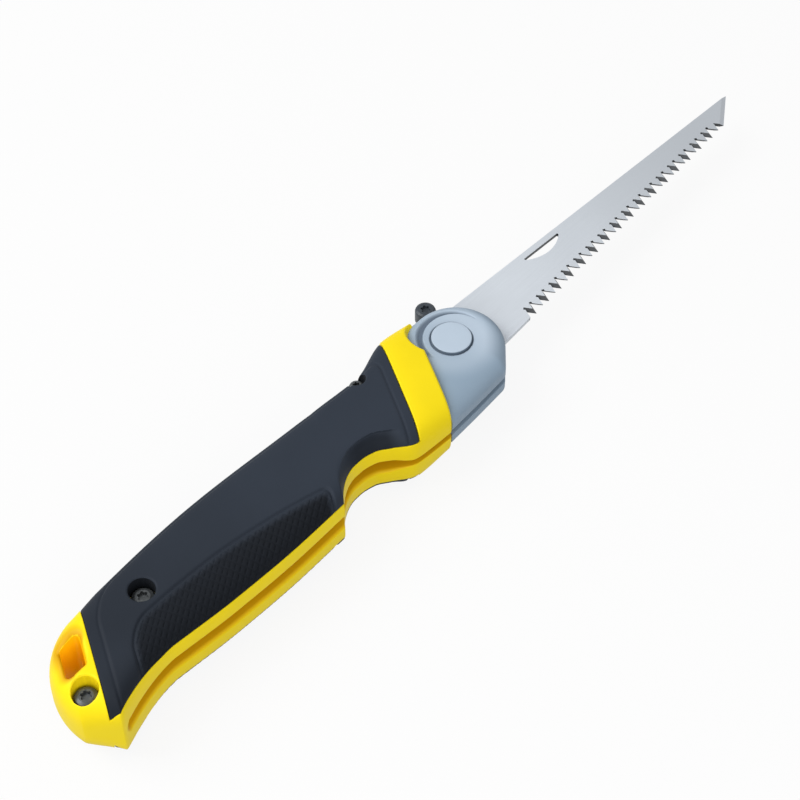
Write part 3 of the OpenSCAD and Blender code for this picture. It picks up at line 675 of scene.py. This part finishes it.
def end_fans(rows, columns):
    """Faces from a wrapped grid's first and last row to the two points that follow the grid."""
    k = np.arange(columns)
    after, last, tip = (k + 1) % columns, (rows - 1) * columns, np.full(columns, rows * columns)
    return [np.stack([after, k, tip], -1), np.stack([last + k, last + after, tip + 1], -1)]


def strip_faces(first, second):
    """Faces between two lines of point numbers with different counts."""
    share = np.round(np.arange(len(first)) * (len(second) - 1) / (len(first) - 1)).astype(int)
    here, there = second[share[:-1]], second[share[1:]]
    thin = np.stack([first[:-1], first[1:], here], -1)
    wide = np.stack([first[1:], there, here], -1)[here != there]
    return np.concatenate([thin, wide])


def enclosed(points, faces):
    """Signed volume inside the faces, by the sum of their cones to the origin."""
    total = 0.0
    for block in faces:
        for k in range(1, block.shape[1] - 1):
            a, b, c = points[block[:, 0]], points[block[:, k]], points[block[:, k + 1]]
            total += (a * np.cross(b, c)).sum()
    return total


def mesh_piece(name, points, faces, finish, crease=CREASE, face_mark=None, **marks):
    """Mesh object from points in millimetres round the pivot, with its faces turned outwards.

    Marks are values per point, kept as attributes that the finish can read; a face mark is set
    on every face.
    """
    volume = enclosed(points, faces)
    if not abs(volume) > 0:
        raise RuntimeError(f"{name} encloses nothing, so its sizes don't fit together")
    if volume < 0:
        faces = [block[:, ::-1] for block in faces]
    mesh = bpy.data.meshes.new(name)
    mesh.from_pydata((PIVOT + MM * points).tolist(), [], sum((block.tolist() for block in faces), []))
    mesh.materials.append(finish)
    for mark, values in marks.items():
        mesh.attributes.new(mark, "FLOAT", "POINT").data.foreach_set("value", values)
    if face_mark:
        on_faces = mesh.attributes.new(face_mark, "FLOAT", "FACE")
        on_faces.data.foreach_set("value", np.ones(len(mesh.polygons)))
    shade(mesh, crease)
    piece = bpy.data.objects.new(name, mesh)
    bpy.context.scene.collection.objects.link(piece)
    return piece


def shade(mesh, crease):
    """Smooth shading, with the edges over a crease angle in degrees kept sharp."""
    mesh.shade_smooth()
    mesh.set_sharp_from_angle(angle=math.radians(crease))
    mesh.update()


def carve(piece, cutters, crease=CREASE, joined=()):
    """Joins closed solids to a piece, cuts closed tools out of it and removes both."""
    steps = [("UNION", tool) for tool in joined] + [("DIFFERENCE", tool) for tool in cutters]
    for operation, tool in steps:
        cut = piece.modifiers.new("cut", "BOOLEAN")
        cut.operation, cut.solver, cut.object = operation, "MANIFOLD", tool
    done = bpy.data.meshes.new_from_object(piece.evaluated_get(bpy.context.evaluated_depsgraph_get()))
    if not done.polygons:
        raise RuntimeError(f"nothing was left of {piece.name} after its cuts")
    old = piece.data
    piece.modifiers.clear()
    piece.data = done
    done.name = old.name
    bpy.data.meshes.remove(old)
    shade(done, crease)
    for _, tool in steps:
        bpy.data.meshes.remove(tool.data)
    return piece


def dress(piece, body, slot, *nodes):
    """Seats a piece on its body in place of CAD nodes, which it hides; the finish slot it is given is
    not used.
    """
    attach(piece, body)
    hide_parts(*nodes)
    return piece


def turned_piece(name, profile, centre, finish, count=96, side=1, face_mark=None, **marks):
    """Closed solid of revolution about a Z line: a profile of (radius, height) from axis to axis.

    A mark has one value for each point of the profile.
    """
    p = np.asarray(profile, float)
    radius, height = p[1:-1, :1], p[1:-1, 1:]
    angle = np.linspace(0, 2 * np.pi, count, endpoint=False)
    x, y = centre[0] + radius * np.cos(angle), centre[1] + radius * np.sin(angle)
    rings = np.stack([x, y, side * np.broadcast_to(height, x.shape)], -1)
    tips = np.array([[*centre, side * p[0, 1]], [*centre, side * p[-1, 1]]])
    points = np.concatenate([rings.reshape(-1, 3), tips])
    faces = [grid_quads(len(rings), count), *end_fans(len(rings), count)]
    spread = {
        mark: np.concatenate([np.repeat(values[1:-1], count), [values[0], values[-1]]])
        for mark, values in marks.items()
    }
    return mesh_piece(name, points, faces, finish, face_mark=face_mark, **spread)


def rod(name, centre, radius, low, high, face_mark=None):
    """Plain round tool along Z."""
    profile = [(0, low), (radius, low), (radius, high), (0, high)]
    return turned_piece(name, profile, centre, None, face_mark=face_mark)


def prism(name, x, y, low, high, face_mark=None):
    """Straight tool along Z over a closed outline."""
    count = len(x)
    rings = np.stack([np.stack([x, y, np.full(count, z)], -1) for z in (low, high)])
    ring = np.arange(count)[None, :]
    faces = [grid_quads(2, count), ring[:, ::-1], ring + count]
    return mesh_piece(name, rings.reshape(-1, 3), faces, None, face_mark=face_mark)


def screw_places(form):
    """Axis of each handle screw, height of the seat under its head, and the head's radius."""
    return {
        "front": ((4.9 - form.waist, 8.6), 6.0, 2.3),
        "middle": ((22 - form.blade_reach, 2.5), 6.4, 3.3),
        "tail": ((form.butt_x + 5.5, -7.9), 5.8, 3.3),
    }


# Shells


def shell_stations(form, front):
    """Rows of the shell: a station for each row and column, and the extra depth of the front wall.

    The first rows start at the collar's front line, which is different for each column.
    """
    over_collar, under_grip, over_tail = 42, 190, 76
    near = np.array([0, 0, 0, 0.04, 0.12, 0.25, 0.45, 0.7, 0.95])
    wall = np.array([4.0, 1.6])
    start = front + near[:, None]
    edge = form.grip_front - np.array([0.5, 0.3, 0.16, 0.08, 0.03])
    share = np.linspace(0, 1, over_collar)[1:-1, None]
    middle = start[-1] + share * (edge[0] - start[-1])
    inset = np.linspace(form.grip_front + 0.01, form.grip_rear - 0.01, under_grip)
    back = form.grip_rear + np.array([0.03, 0.08, 0.16, 0.3])
    turn = np.linspace(0, np.pi / 2, over_tail)[1:]
    tail = back[-1] + (form.butt_end - 0.03 - back[-1]) * np.sin(turn)
    rest = np.concatenate([edge, inset, back, tail])
    rows = np.concatenate([start, middle, np.broadcast_to(rest[:, None], (len(rest), len(front)))])
    depth = np.zeros(len(rows))
    depth[: len(wall)] = wall
    return rows, depth


def collar_line(form, head, share):
    """Station of the collar's front line on each column: the leaning plane, or the lobe's circle."""
    front = np.full(len(share), form.collar_front + SEAM)
    span = 14

    def outside(d):
        point = form.skin(d, share * form.lip_angle(d))
        away = np.hypot(point[:, 0] - LOBE_AT[0], point[:, 1] - LOBE_AT[1])
        return away > head.lobe_r / MM + SEAM

    return np.where(outside(front), front, crossing(outside, front, front + span))


def slot_mouth(form, d):
    """Half width of the slot and radius of its edge: narrow in the collar, shut before the hook."""
    behind = ramp(d, form.grip_front + 2, form.grip_front + 11)
    open_part = 1 - ramp(d, form.hook - 2, form.hook - 1)
    half = form.slot_half + (form.mouth_half - form.slot_half) * behind
    return open_part * half, open_part * (0.25 + 0.75 * behind)


def slot_ceiling(form, d):
    """Height of the slot's roof at station d: a level stretch, the folded teeth's line and the end."""
    x = np.array([-form.blade_reach - 6.4, 11.1 - form.blade_reach, -13.9, 0])
    y = np.array([-12.6, -3.36, 8.68, 8.68])
    height = np.zeros_like(d)
    for _ in range(4):
        height = np.interp(form.lean * height - d, x, y)
    return height


def slot_inside(form, d, slot, edge_r, low):
    """Points of the slot's rolled edge, wall, roof and parting line, and how deep in it each lies."""
    turn = np.linspace(0, np.pi / 2, 7)[1:]
    roof = np.maximum(slot_ceiling(form, d), low + edge_r + 0.3)
    y = np.concatenate([low + edge_r * (1 - np.cos(turn)), roof, roof], 1)
    z = np.concatenate([slot + edge_r * (1 - np.sin(turn)), slot, 0 * slot], 1)
    deep = np.concatenate([np.sin(turn), [1, 1]]) * ramp(slot, form.slot_half - 1, form.slot_half)
    return np.stack([form.lean * y - d, y, z], -1), deep


def shell_edges(form, side, d, flank, past_lip, point, hole):
    """Depth of the rolled edges round the grip, along the lip, the hang hole and the tail screw."""
    rim_r, lip_r, recess_r = 0.3, 0.25, 0.4
    depth = roll(np.where(d < form.grip_front, form.grip_front - d, FAR_OFF), rim_r) * flank
    depth += roll(np.where(d > form.grip_rear, d - form.grip_rear, FAR_OFF), rim_r) * flank
    along = (d > form.grip_front - rim_r) & (d < form.grip_rear + rim_r)
    depth += roll(np.where(along & ~flank, past_lip, FAR_OFF), lip_r)
    x, y, z = np.moveaxis(point, -1, 0)
    bevel = 1.3 + 0.9 * ramp(y, 3, 7) - 0.85 * ramp(-y, 0.5, 3)
    depth += np.where(d > form.grip_rear, roll(hole, bevel), 0)
    if side > 0:
        at, _, head_r = screw_places(form)["tail"]
        recess = np.hypot(x - at[0], y - at[1]) - head_r - RECESS_PLAY
        depth += roll(recess, recess_r) * ramp(z, 5, 7) * (d > form.grip_rear)
    return depth


def shell_piece(form, head, name, side, finish):
    """One half shell: skin from spine to slot, rolled slot edge, slot wall and parting face.

    The share of a column runs from 0 at the spine to 1 at the grip's lip and 2 at the slot.
    """
    over, lip, lip_radius = 150, 34, 13
    share = np.concatenate([np.linspace(0, 1, over), 1 + np.linspace(0.004, 1, lip) ** 1.3])
    front = collar_line(form, head, share.clip(0, 1))
    d, wall = shell_stations(form, front)
    slot, edge_r = slot_mouth(form, d)
    lip_at = form.lip_angle(d)
    last = form.angle_at(d, np.maximum(slot + edge_r, 0.02))
    angle = np.where(share <= 1, share * lip_at, lip_at + (share - 1) * (last - lip_at))
    bare = form.skin(d, angle)
    hole = hang_hole_distance(form, bare[..., 0], bare[..., 1])
    edges = roll(d - front, 0.9) + wall[:, None]
    edges += shell_edges(form, side, d, share <= 1, (angle - lip_at) * lip_radius, bare, hole)
    covered = (d > form.grip_front) & (d < form.grip_rear) & (share <= 1)
    skin = form.skin(d, angle, np.where(covered, form.grip_t + SEAM, edges))
    inner, deep = slot_inside(form, d[:, -1:], slot[:, -1:], edge_r[:, -1:], skin[:, -1:, 1])
    rings = np.concatenate([skin, inner], 1)
    rings[:, 0, 2] = 0
    rings[..., 2] *= side
    rows, columns = rings.shape[:2]
    ring = np.arange(columns)[None, :]
    faces = [grid_quads(rows, columns), ring[:, ::-1], ring + (rows - 1) * columns]
    # Marks for the finish: painted shade in the slot, painted shade and light on the hang hole's rim
    marks = {
        "slot_shade": np.concatenate([np.zeros_like(d), deep], 1).ravel(),
        "hole_rim": np.concatenate([hang_hole_rim(form, bare, hole), np.zeros_like(deep)], 1).ravel(),
    }
    piece = mesh_piece(name, rings.reshape(-1, 3), faces, finish, **marks)
    return carve(piece, shell_cutters(form, side))


def shell_cutters(form, side):
    """Tools for the hang hole, and on the near shell for the recesses over the screws' heads."""
    high = 2 * form.grip_half
    tools = [hang_hole_tool(form, side)]
    if side > 0:
        for key, (at, seat, head_r) in screw_places(form).items():
            sleeve = 0 if key == "tail" else SLEEVE + SEAM
            tools.append(rod("recess", at, head_r + RECESS_PLAY + sleeve, seat, high))
    return tools


def hang_hole_tool(form, side):
    """Prism of the hang hole: at each angle round its middle, the reach where the distance is zero."""
    count, reach = 160, 12.0
    angle = np.linspace(0, 2 * np.pi, count, endpoint=False)
    way = np.stack([np.cos(angle), np.sin(angle)])
    middle = np.array([[form.butt_x + HOLE_MID[0]], [HOLE_MID[1]]])

    def outside(far):
        return hang_hole_distance(form, *(middle + far * way)) > 0

    x, y = middle + crossing(outside, np.zeros(count), np.full(count, reach)) * way
    # The prism's faces carry the hole_wall mark, where the finish paints the light through the plastic
    return prism("hang_hole", x, y, -1.0 * side, 2.0 * form.tail_half * side, "hole_wall")


class SAW_OT_shells(bpy.types.Operator):
    """Builds the two moulded half shells of the handle"""

    bl_idname = "saw.shells"
    bl_label = "Moulded shells"

    def execute(self, context):
        form, head = HandleForm(context.scene.saw_handle), context.scene.saw_head
        for key, side in SIDES.items():
            finish = finish_named("moulded_yellow")
            piece = shell_piece(form, head, f"{key}_shell_moulding", side, finish)
            dress(piece, "handle", "yellow_plastic", f"{key}_shell")
        return {"FINISHED"}


# Grips


def panel_inside(form, d, y):
    """Distance inside the panel: behind the grip's front, under the spine, before the grip's rear."""
    front, spine, rear = 3.8, 2.3, 4.1
    panel = round_min(d - form.grip_front - front, form.spine(d) - spine - y, 6.5)
    return round_min(panel, form.grip_rear - rear - d, 8)


def pad_inside(form, d, y):
    """Distance inside the cross-cut pad: under a rising curve, from the scallop to the hook."""
    front, rear = form.scallop_end + 3.6, form.hook - 8.8
    curve = [
        (front, -11.6), (front + 8.4, -9.5), (front + 24.4, -6.4),
        (front + 42.4, -4.1), (front + 59.4, -3.4), (form.hook, -3.4),
    ]
    pad = round_min(hermite(curve, d) - y, rear - d, 6.5)
    return round_min(pad, d - front, 2.0)


def cross_cuts(relief, d, run):
    """Two sets of even slanted cuts, 1 along the middle of a cut: station plus and minus the run."""
    pitch = relief.cut_pitch / MM * math.sqrt(2)
    turns = np.stack([d + run, d - run]) / pitch
    return ramp(np.abs(turns % 1 - 0.5), 0.3, 0.46).max(0)


def grip_relief(form, relief, d, point, run, lip_y):
    """Depth of the grip's moulded lines at each point of its skin, and where the rubber is darker: on
    the pad, and with painted shade low in the cove.

    A line frames the panel, whose border is sunk a little; the pad has a line round it and its
    cuts; a cove of half an ellipse lies over the finger scallop and fades at both ends.
    """
    border_sunk, pad_sunk, cove_rise = 0.16, 0.12, 3.0
    y, front, corner = point[..., 1], form.grip_front, form.scallop_end
    panel, pad = panel_inside(form, d, y), pad_inside(form, d, y)
    depth = line_cut(panel, relief.panel_line / MM, 0.42)
    depth += border_sunk * (1 - ramp(panel, -0.5, 0.1))
    depth += line_cut(pad, relief.pad_line / MM, 0.55)
    cuts = relief.cut_depth / MM * cross_cuts(relief, d, run)
    depth += ramp(pad, 0.5, 1.1) * (pad_sunk + cuts)
    rise = np.clip((y - lip_y) / cove_rise, 0, 1)
    fade = ramp(d, front + 5, front + 11) * (1 - ramp(d, corner - 10, corner - 1))
    depth += 2 * relief.cove_depth / MM * rise * np.sqrt(1 - rise**2) * fade
    # The second value is the darker pad and the painted shade in the cove's lower part
    return depth, np.maximum(ramp(pad, 0, 2.5), 0.8 * fade * (1 - ramp(rise, 0.4, 1)))


def grip_piece(form, relief, name, side, finish):
    """One soft grip: its outer skin with rolled borders and relief, and a plain inner face."""
    rows, outer, inner, crease = 400, 196, 24, 50
    front, rear = form.grip_front + 0.06, form.grip_rear - 0.06
    close = np.array([0.05, 0.12, 0.22, 0.35, 0.5, 0.7])
    even = np.linspace(front, rear, rows - 2 * len(close))
    d = np.sort(np.concatenate([even, front + close, rear - close]))[:, None]
    first = np.array([0, 0.002, 0.005, 0.01])
    share = np.concatenate([first, np.linspace(0.016, 0.984, outer - 8), 1 - first[::-1]])
    angle = share * form.lip_angle(d)
    point = form.skin(d, angle)
    step = np.linalg.norm(np.diff(point[..., 1:], axis=1), axis=-1)
    run = np.concatenate([np.zeros((rows, 1)), np.cumsum(step, 1)], 1)
    left = run[:, -1:] - run
    border = roll(d - front, 0.7) + roll(rear - d, 0.35) + roll(run, 0.35) + roll(left, 0.4)
    depth, dull = grip_relief(form, relief, d, point, run, point[:, -1:, 1])
    places = screw_places(form)
    if side > 0:
        for at, _, head_r in (places["front"], places["middle"]):
            rim = np.hypot(point[..., 0] - at[0], point[..., 1] - at[1]) - head_r - RECESS_PLAY
            border = border + np.where(point[..., 2] > 4, roll(rim, 0.5), 0)
    fade = ramp(np.minimum(run, left), 0, 0.8)
    outside = form.skin(d, angle, np.minimum(border + fade * depth, 0.8 * form.grip_t))
    inside = form.skin(d, np.linspace(1, 0, inner) * form.lip_angle(d), form.grip_t)
    rings = np.concatenate([outside, inside], 1)
    rings[..., 2] *= side
    columns = outer + inner
    strip = strip_faces(np.arange(outer), np.arange(columns - 1, outer - 1, -1))
    faces = [grid_quads(rows, columns), strip[:, ::-1], strip + (rows - 1) * columns]
    # The hidden inner face is marked fully dark, a painted shade between grip and shell
    dull = np.concatenate([dull, np.ones((rows, inner))], 1).ravel()
    piece = mesh_piece(name, rings.reshape(-1, 3), faces, finish, crease, dull=dull)
    if side < 0:
        return piece
    tools, sleeves = grip_recesses(form, places)
    return carve(piece, tools, crease, sleeves)


def grip_recesses(form, places):
    """Tools for the recesses over the front and middle screws, and the sleeves that line them."""
    high = 2 * form.grip_half
    at, seat, head_r = places["front"]
    # The recesses' walls carry the bore_wall mark, where the finish paints shade
    tools = [rod("recess", at, head_r + RECESS_PLAY, seat, high, "bore_wall")]
    turn = np.linspace(np.pi, 2 * np.pi, 48)
    wide = head_r + RECESS_PLAY + SLEEVE
    x, y = at[0] + wide * np.cos(turn), at[1] + wide * np.sin(turn)
    half_sleeve = prism("half_sleeve", x, y, seat + SEAM, form.grip_half - 3.2)
    at, seat, head_r = places["middle"]
    tools.append(rod("recess", at, head_r + RECESS_PLAY, 0, high, "bore_wall"))
    sleeve = rod("sleeve", at, head_r + RECESS_PLAY + SLEEVE, seat + SEAM, form.grip_half - 1)
    return tools, [half_sleeve, sleeve]


class SAW_OT_grips(bpy.types.Operator):
    """Builds the two soft grips with their moulded lines and cross-cut pads"""

    bl_idname = "saw.grips"
    bl_label = "Soft grips"

    def execute(self, context):
        form, relief = HandleForm(context.scene.saw_handle), context.scene.saw_relief
        for key, side in SIDES.items():
            finish = finish_named("soft_rubber")
            piece = grip_piece(form, relief, f"{key}_grip_rubber", side, finish)
            dress(piece, "handle", "soft_grip", f"{key}_grip")
        return {"FINISHED"}


# Head


class CheekForm:
    """Outline of a cast cheek: the hull of the nose and chin circles and the corners of its rear."""

    def __init__(self, form, head):
        self.form, self.head = form, head
        self.turn = np.linspace(0, 2 * np.pi, 360, endpoint=False)
        self.way = np.stack([np.cos(self.turn), np.sin(self.turn)])
        drop, chin = head.drop / MM, head.chin_r / MM
        nose = NOSE_AT @ self.way + head.nose_r / MM
        lower = np.array([CHIN_X, chin - drop]) @ self.way + chin
        # Two corners behind the seam set the slopes of the lower and the upper edge
        rear = np.array([[-32, -drop - 1.4], [-12, form.crown_y - 1.4]]) @ self.way
        self.support = np.maximum(np.maximum(nose, lower), rear.max(0))

    def inset(self, x, y):
        """Share of the rounded edge that lies outside a point; the edge is widest along the belly."""
        gap = self.support - (x[..., None] * self.way[0] + y[..., None] * self.way[1])
        spread = self.head.edge_round / MM + 4.0 * np.maximum(-self.way[1], 0) ** 2
        return np.clip((gap / spread).min(-1), 0, 1)

    def reach(self, angle):
        """Distance from the pivot to the cheek's rim: outline, leaning seam and rear lobe."""
        endless, level = 1e3, 1e-3
        facing = np.cos(self.turn - angle[:, None])
        outline = np.where(facing > level, self.support / np.maximum(facing, level), endless).min(1)
        slope = self.form.lean * np.sin(angle) - np.cos(angle)
        seam = np.where(slope > level, self.form.collar_front / np.maximum(slope, level), endless)
        ahead = LOBE_AT[0] * np.cos(angle) + LOBE_AT[1] * np.sin(angle)
        room = ahead**2 - LOBE_AT @ LOBE_AT + (self.head.lobe_r / MM) ** 2
        disc = np.where((room > 0) & (ahead > 0), ahead + np.sqrt(np.maximum(room, 0)), 0)
        return np.minimum(outline, np.maximum(seam, disc))


def dish_share(head, x, y, angle):
    """Share of the crescent's depth: outside the plateau's circle, inside a wider, shifted one."""
    plateau, shift, turn = head.plateau_r / MM, head.dish_w / MM / 2, math.radians(DISH_TURN)
    wider = PLATEAU_AT + shift * np.array([math.cos(turn), math.sin(turn)])
    past = np.hypot(x - PLATEAU_AT[0], y - PLATEAU_AT[1]) - plateau
    within = plateau + shift - 0.1 - np.hypot(x - wider[0], y - wider[1])
    return ramp(past, -0.1, 0.4) * ramp(within, 0, 1.3) * (1 - ramp(angle, *np.radians(DISH_END)))


def cheek_piece(form, head, name, side, finish):
    """One cheek on a polar grid round the pivot: dished face, rounded edge, wall and inner face."""
    count, rings, rolled = 300, 110, 0.25
    face, edge, cap, low = head.face_half / MM, head.edge_round / MM, head.cap_r / MM, form.slot_half
    cheek = CheekForm(form, head)
    angle = np.linspace(0, 2 * np.pi, count, endpoint=False)
    rim, inner = cheek.reach(angle), 0.8 * cap
    share = 1 - (1 - np.linspace(0, 1, rings)[1:, None]) ** 1.5
    radius = inner + share * (rim - inner)
    x, y = radius * np.cos(angle), radius * np.sin(angle)
    z = face - edge * (1 - np.sqrt(1 - (1 - cheek.inset(x, y)) ** 2))
    hollow, groove = dish_share(head, x, y, angle), line_cut(radius - cap - 0.12, 0.5, 0.3)
    z = z - head.dish_depth / MM * hollow - groove
    # The sunk mark: painted shade in the crescent hollow and in the groove round the cap
    hollow = np.maximum(hollow, 1 - ramp(radius - cap, 0.2, 0.6))
    # The wall under the rim ends in a rolled edge
    turn = np.linspace(0, np.pi / 2, 5)[:, None]
    back = 1 - rolled * (1 - np.cos(turn)) / rim
    height = np.broadcast_to(low + rolled * (1 - np.sin(turn)), back.shape)
    wall = np.stack([x[-1] * back, y[-1] * back, height], -1)
    floor = np.stack([inner * np.cos(angle), inner * np.sin(angle), np.full(count, low)], -1)
    grid = np.concatenate([np.stack([x, y, z], -1), wall, floor[None]])
    grid[..., 2] *= side
    points = np.concatenate([grid.reshape(-1, 3), [[0, 0, side * (face - 0.4)], [0, 0, side * low]]])
    faces = [grid_quads(len(grid), count), *end_fans(len(grid), count)]
    sunk = np.zeros(len(points))
    sunk[: hollow.size] = hollow.ravel()
    return mesh_piece(name, points, faces, finish, 40, sunk=sunk)


def cap_piece(head, name, side, finish):
    """Pivot cap: a slightly crowned disc with a rolled edge, seated in the cheek."""
    radius, face, crowned = head.cap_r / MM, head.face_half / MM, 0.06
    low, top = face - 0.5, face + head.cap_rise / MM
    edge = 0.45 * (top - face)
    turn = np.linspace(0, np.pi / 2, 8)
    share = np.array([0.7, 0.45, 0.2])
    rim = top - crowned
    rolled = np.stack([radius - edge * (1 - np.cos(turn)), rim - edge * (1 - np.sin(turn))], -1)
    crown = np.stack([radius * share, top - crowned * share**2], -1)
    profile = np.concatenate([[(0, low), (radius, low)], rolled, crown, [(0, top)]])
    # The sunk mark paints shade on the cap's rolled wall
    wall = np.concatenate([[0, 1], 1 - ramp(turn, 0.3, 1.3), np.zeros(len(crown) + 1)])
    return turned_piece(name, profile, (0, 0), finish, 128, side, sunk=wall)


class SAW_OT_head(bpy.types.Operator):
    """Builds the two cast cheeks of the head and the caps over the pivot"""

    bl_idname = "saw.head"
    bl_label = "Cast head"

    def execute(self, context):
        form, head = HandleForm(context.scene.saw_handle), context.scene.saw_head
        for key, side in SIDES.items():
            finish = finish_named("cast_satin")
            cheek = cheek_piece(form, head, f"{key}_cheek_casting", side, finish)
            dress(cheek, "handle", "cast_head", f"{key}_bolster")
            cap = cap_piece(head, f"{key}_pivot_cap", side, finish)
            dress(cap, "handle", "cast_head", f"{key}_cap")
        return {"FINISHED"}


# Pieces that keep their CAD shape, by finish
HARDWARE = {
    "ground_blade": ["blade"],
    "turned_steel": [
        "pivot_barrel", "pivot_screw", "open_stop_pin", "lever_pin", "lever_spring", "lock_lever"
    ],
    "rolled_bronze": ["near_washer", "far_washer"],
    "blackened_steel": ["front_screw", "middle_screw", "tail_screw"],
    "satin_button": ["lock_button"],
}


class SAW_OT_hardware(bpy.types.Operator):
    """Gives the blade, lock, pivot and screws of the CAD frame their finishes"""

    bl_idname = "saw.hardware"
    bl_label = "Blade and hardware"

    def execute(self, context):
        for finish, nodes in HARDWARE.items():
            for node in nodes:
                if node not in frame["nodes"]:
                    raise RuntimeError(f"the frame has no {node} to finish")
                frame["nodes"][node].material_slots[0].material = finish_named(finish)
        return {"FINISHED"}


# Stage

FLOOR_REACH = 4.0
WORLD_LIGHT = 0.5
# Place from the pivot and side in metres, power in watts
SOFTBOXES = {
    "key_softbox": ((-0.5, 0.6, 0.85), 0.8, 10.0),
    "fill_softbox": ((-0.7, 0.1, 0.8), 0.9, 0.8),
    "belly_softbox": ((-0.45, -0.55, 0.35), 0.5, 2.2),
}


def studio_floor():
    """Large pale floor whose white is mostly its own for the camera, and which keeps a soft shadow."""
    made = Finish("studio_floor", Roughness=0.9)
    seen = made.node("ShaderNodeLightPath", output="Is Camera Ray")
    mirrored = made.node("ShaderNodeLightPath", output="Is Glossy Ray")
    through = made.node("ShaderNodeLightPath", output="Is Transmission Ray")
    cloud = made.noise(made.place(), 3)
    pale = made.blend(cloud, (0.67, 0.67, 0.67), (0.69, 0.69, 0.69))
    made.set(Base_Color=made.blend(seen, (0.38, 0.38, 0.38), pale))
    glow = made.node("ShaderNodeEmission", {}, {"Color": (1.0, 1.0, 1.0), "Strength": 1.0})
    share = 0.9 * (seen + mirrored + through).clipped()
    plain = Value(made, made.shader.outputs[0])
    mixed = made.node("ShaderNodeMixShader", {}, {0: share, 1: plain, 2: glow})
    made.feed(made.tree.nodes["Material Output"].inputs["Surface"], mixed)
    return made.material


def studio_world(scene, strength):
    """Even white surroundings: full white where they are seen, softer where they light."""
    world = bpy.data.worlds.new("studio")
    world.use_nodes = True
    scene.world = world
    made = Nodes(world.node_tree)
    seen = made.node("ShaderNodeLightPath", output="Is Camera Ray")
    through = made.node("ShaderNodeLightPath", output="Is Transmission Ray")
    background = made.tree.nodes["Background"]
    made.feed(background.inputs["Color"], (1.0, 1.0, 1.0))
    level = strength + (1 - strength) * (seen + through).clipped()
    made.feed(background.inputs["Strength"], level)


def softbox(name, place, size, power):
    """Square area lamp aimed at the pivot."""
    lamp = bpy.data.lights.new(name, "AREA")
    lamp.size, lamp.energy = size, power
    box = bpy.data.objects.new(name, lamp)
    box.location = Vector(PIVOT) + Vector(place)
    box.rotation_mode = "QUATERNION"
    box.rotation_quaternion = Vector(place).to_track_quat("Z", "Y")
    bpy.context.scene.collection.objects.link(box)


def camera_at(azimuth, elevation, depth, lens, pivot_shift):
    """Level camera that looks at the saw from an azimuth and elevation.

    The pivot lies at a depth along the view, shifted right and up by two lengths in that plane.
    """
    a, e = math.radians(azimuth), math.radians(elevation)
    back = Vector((math.sin(a) * math.cos(e), -math.cos(a) * math.cos(e), math.sin(e)))
    right = Vector((math.cos(a), math.sin(a), 0))
    up = back.cross(right)
    data = bpy.data.cameras.new("camera")
    data.lens, data.sensor_width = lens, 36
    data.clip_start, data.clip_end = 0.01, 20
    made = bpy.data.objects.new("camera", data)
    made.matrix_world = Matrix((right, up, back)).transposed().to_4x4()
    made.location = Vector(PIVOT) + depth * back - pivot_shift[0] * right - pivot_shift[1] * up
    bpy.context.scene.collection.objects.link(made)
    bpy.context.scene.camera = made


class SAW_OT_stage(bpy.types.Operator):
    """Adds the floor, the studio light and the camera"""

    bl_idname = "saw.stage"
    bl_label = "Stage"

    def execute(self, context):
        context.scene.view_settings.view_transform = "Standard"
        corner = np.array([[-1, -1, 0], [1, -1, 0], [1, 1, 0], [-1, 1, 0]]) * FLOOR_REACH
        mesh = bpy.data.meshes.new("floor")
        mesh.from_pydata(corner.tolist(), [], [(0, 1, 2, 3)])
        mesh.materials.append(studio_floor())
        floor = bpy.data.objects.new("floor", mesh)
        context.scene.collection.objects.link(floor)
        studio_world(context.scene, WORLD_LIGHT)
        for name, (place, size, power) in SOFTBOXES.items():
            softbox(name, place, size, power)
        camera_at(azimuth=-49.0, elevation=50.2, depth=0.609, lens=95, pivot_shift=(0.01471, 0.01269))
        return {"FINISHED"}


class SAW_PT_pieces(bpy.types.Panel):
    """Lists the operators that build the saw"""

    bl_idname = "SAW_PT_pieces"
    bl_label = "Folding saw"
    bl_space_type = "VIEW_3D"
    bl_region_type = "UI"
    bl_category = "Saw"

    def draw(self, context):
        for operator in OPERATORS:
            self.layout.operator(operator.bl_idname)


OPERATORS = (SAW_OT_shells, SAW_OT_grips, SAW_OT_head, SAW_OT_hardware, SAW_OT_stage)
GROUPS = {
    "saw_handle": SawHandleSizes,
    "saw_head": SawHeadSizes,
    "saw_relief": SawGripRelief,
    "saw_finishes": SawFinishes,
}


def register():
    """Adds the sizes, colours, operators and panel to Blender."""
    for name, group in GROUPS.items():
        bpy.utils.register_class(group)
        setattr(bpy.types.Scene, name, bpy.props.PointerProperty(type=group))
    for made in (*OPERATORS, SAW_PT_pieces):
        bpy.utils.register_class(made)


def unregister():
    """Takes them out of Blender again."""
    for made in reversed((*OPERATORS, SAW_PT_pieces)):
        bpy.utils.unregister_class(made)
    for name, group in GROUPS.items():
        delattr(bpy.types.Scene, name)
        bpy.utils.unregister_class(group)


def main():
    register()
    bpy.ops.saw.shells()
    bpy.ops.saw.grips()
    bpy.ops.saw.head()
    bpy.ops.saw.hardware()
    bpy.ops.saw.stage()


if __name__ == "__main__":
    main()
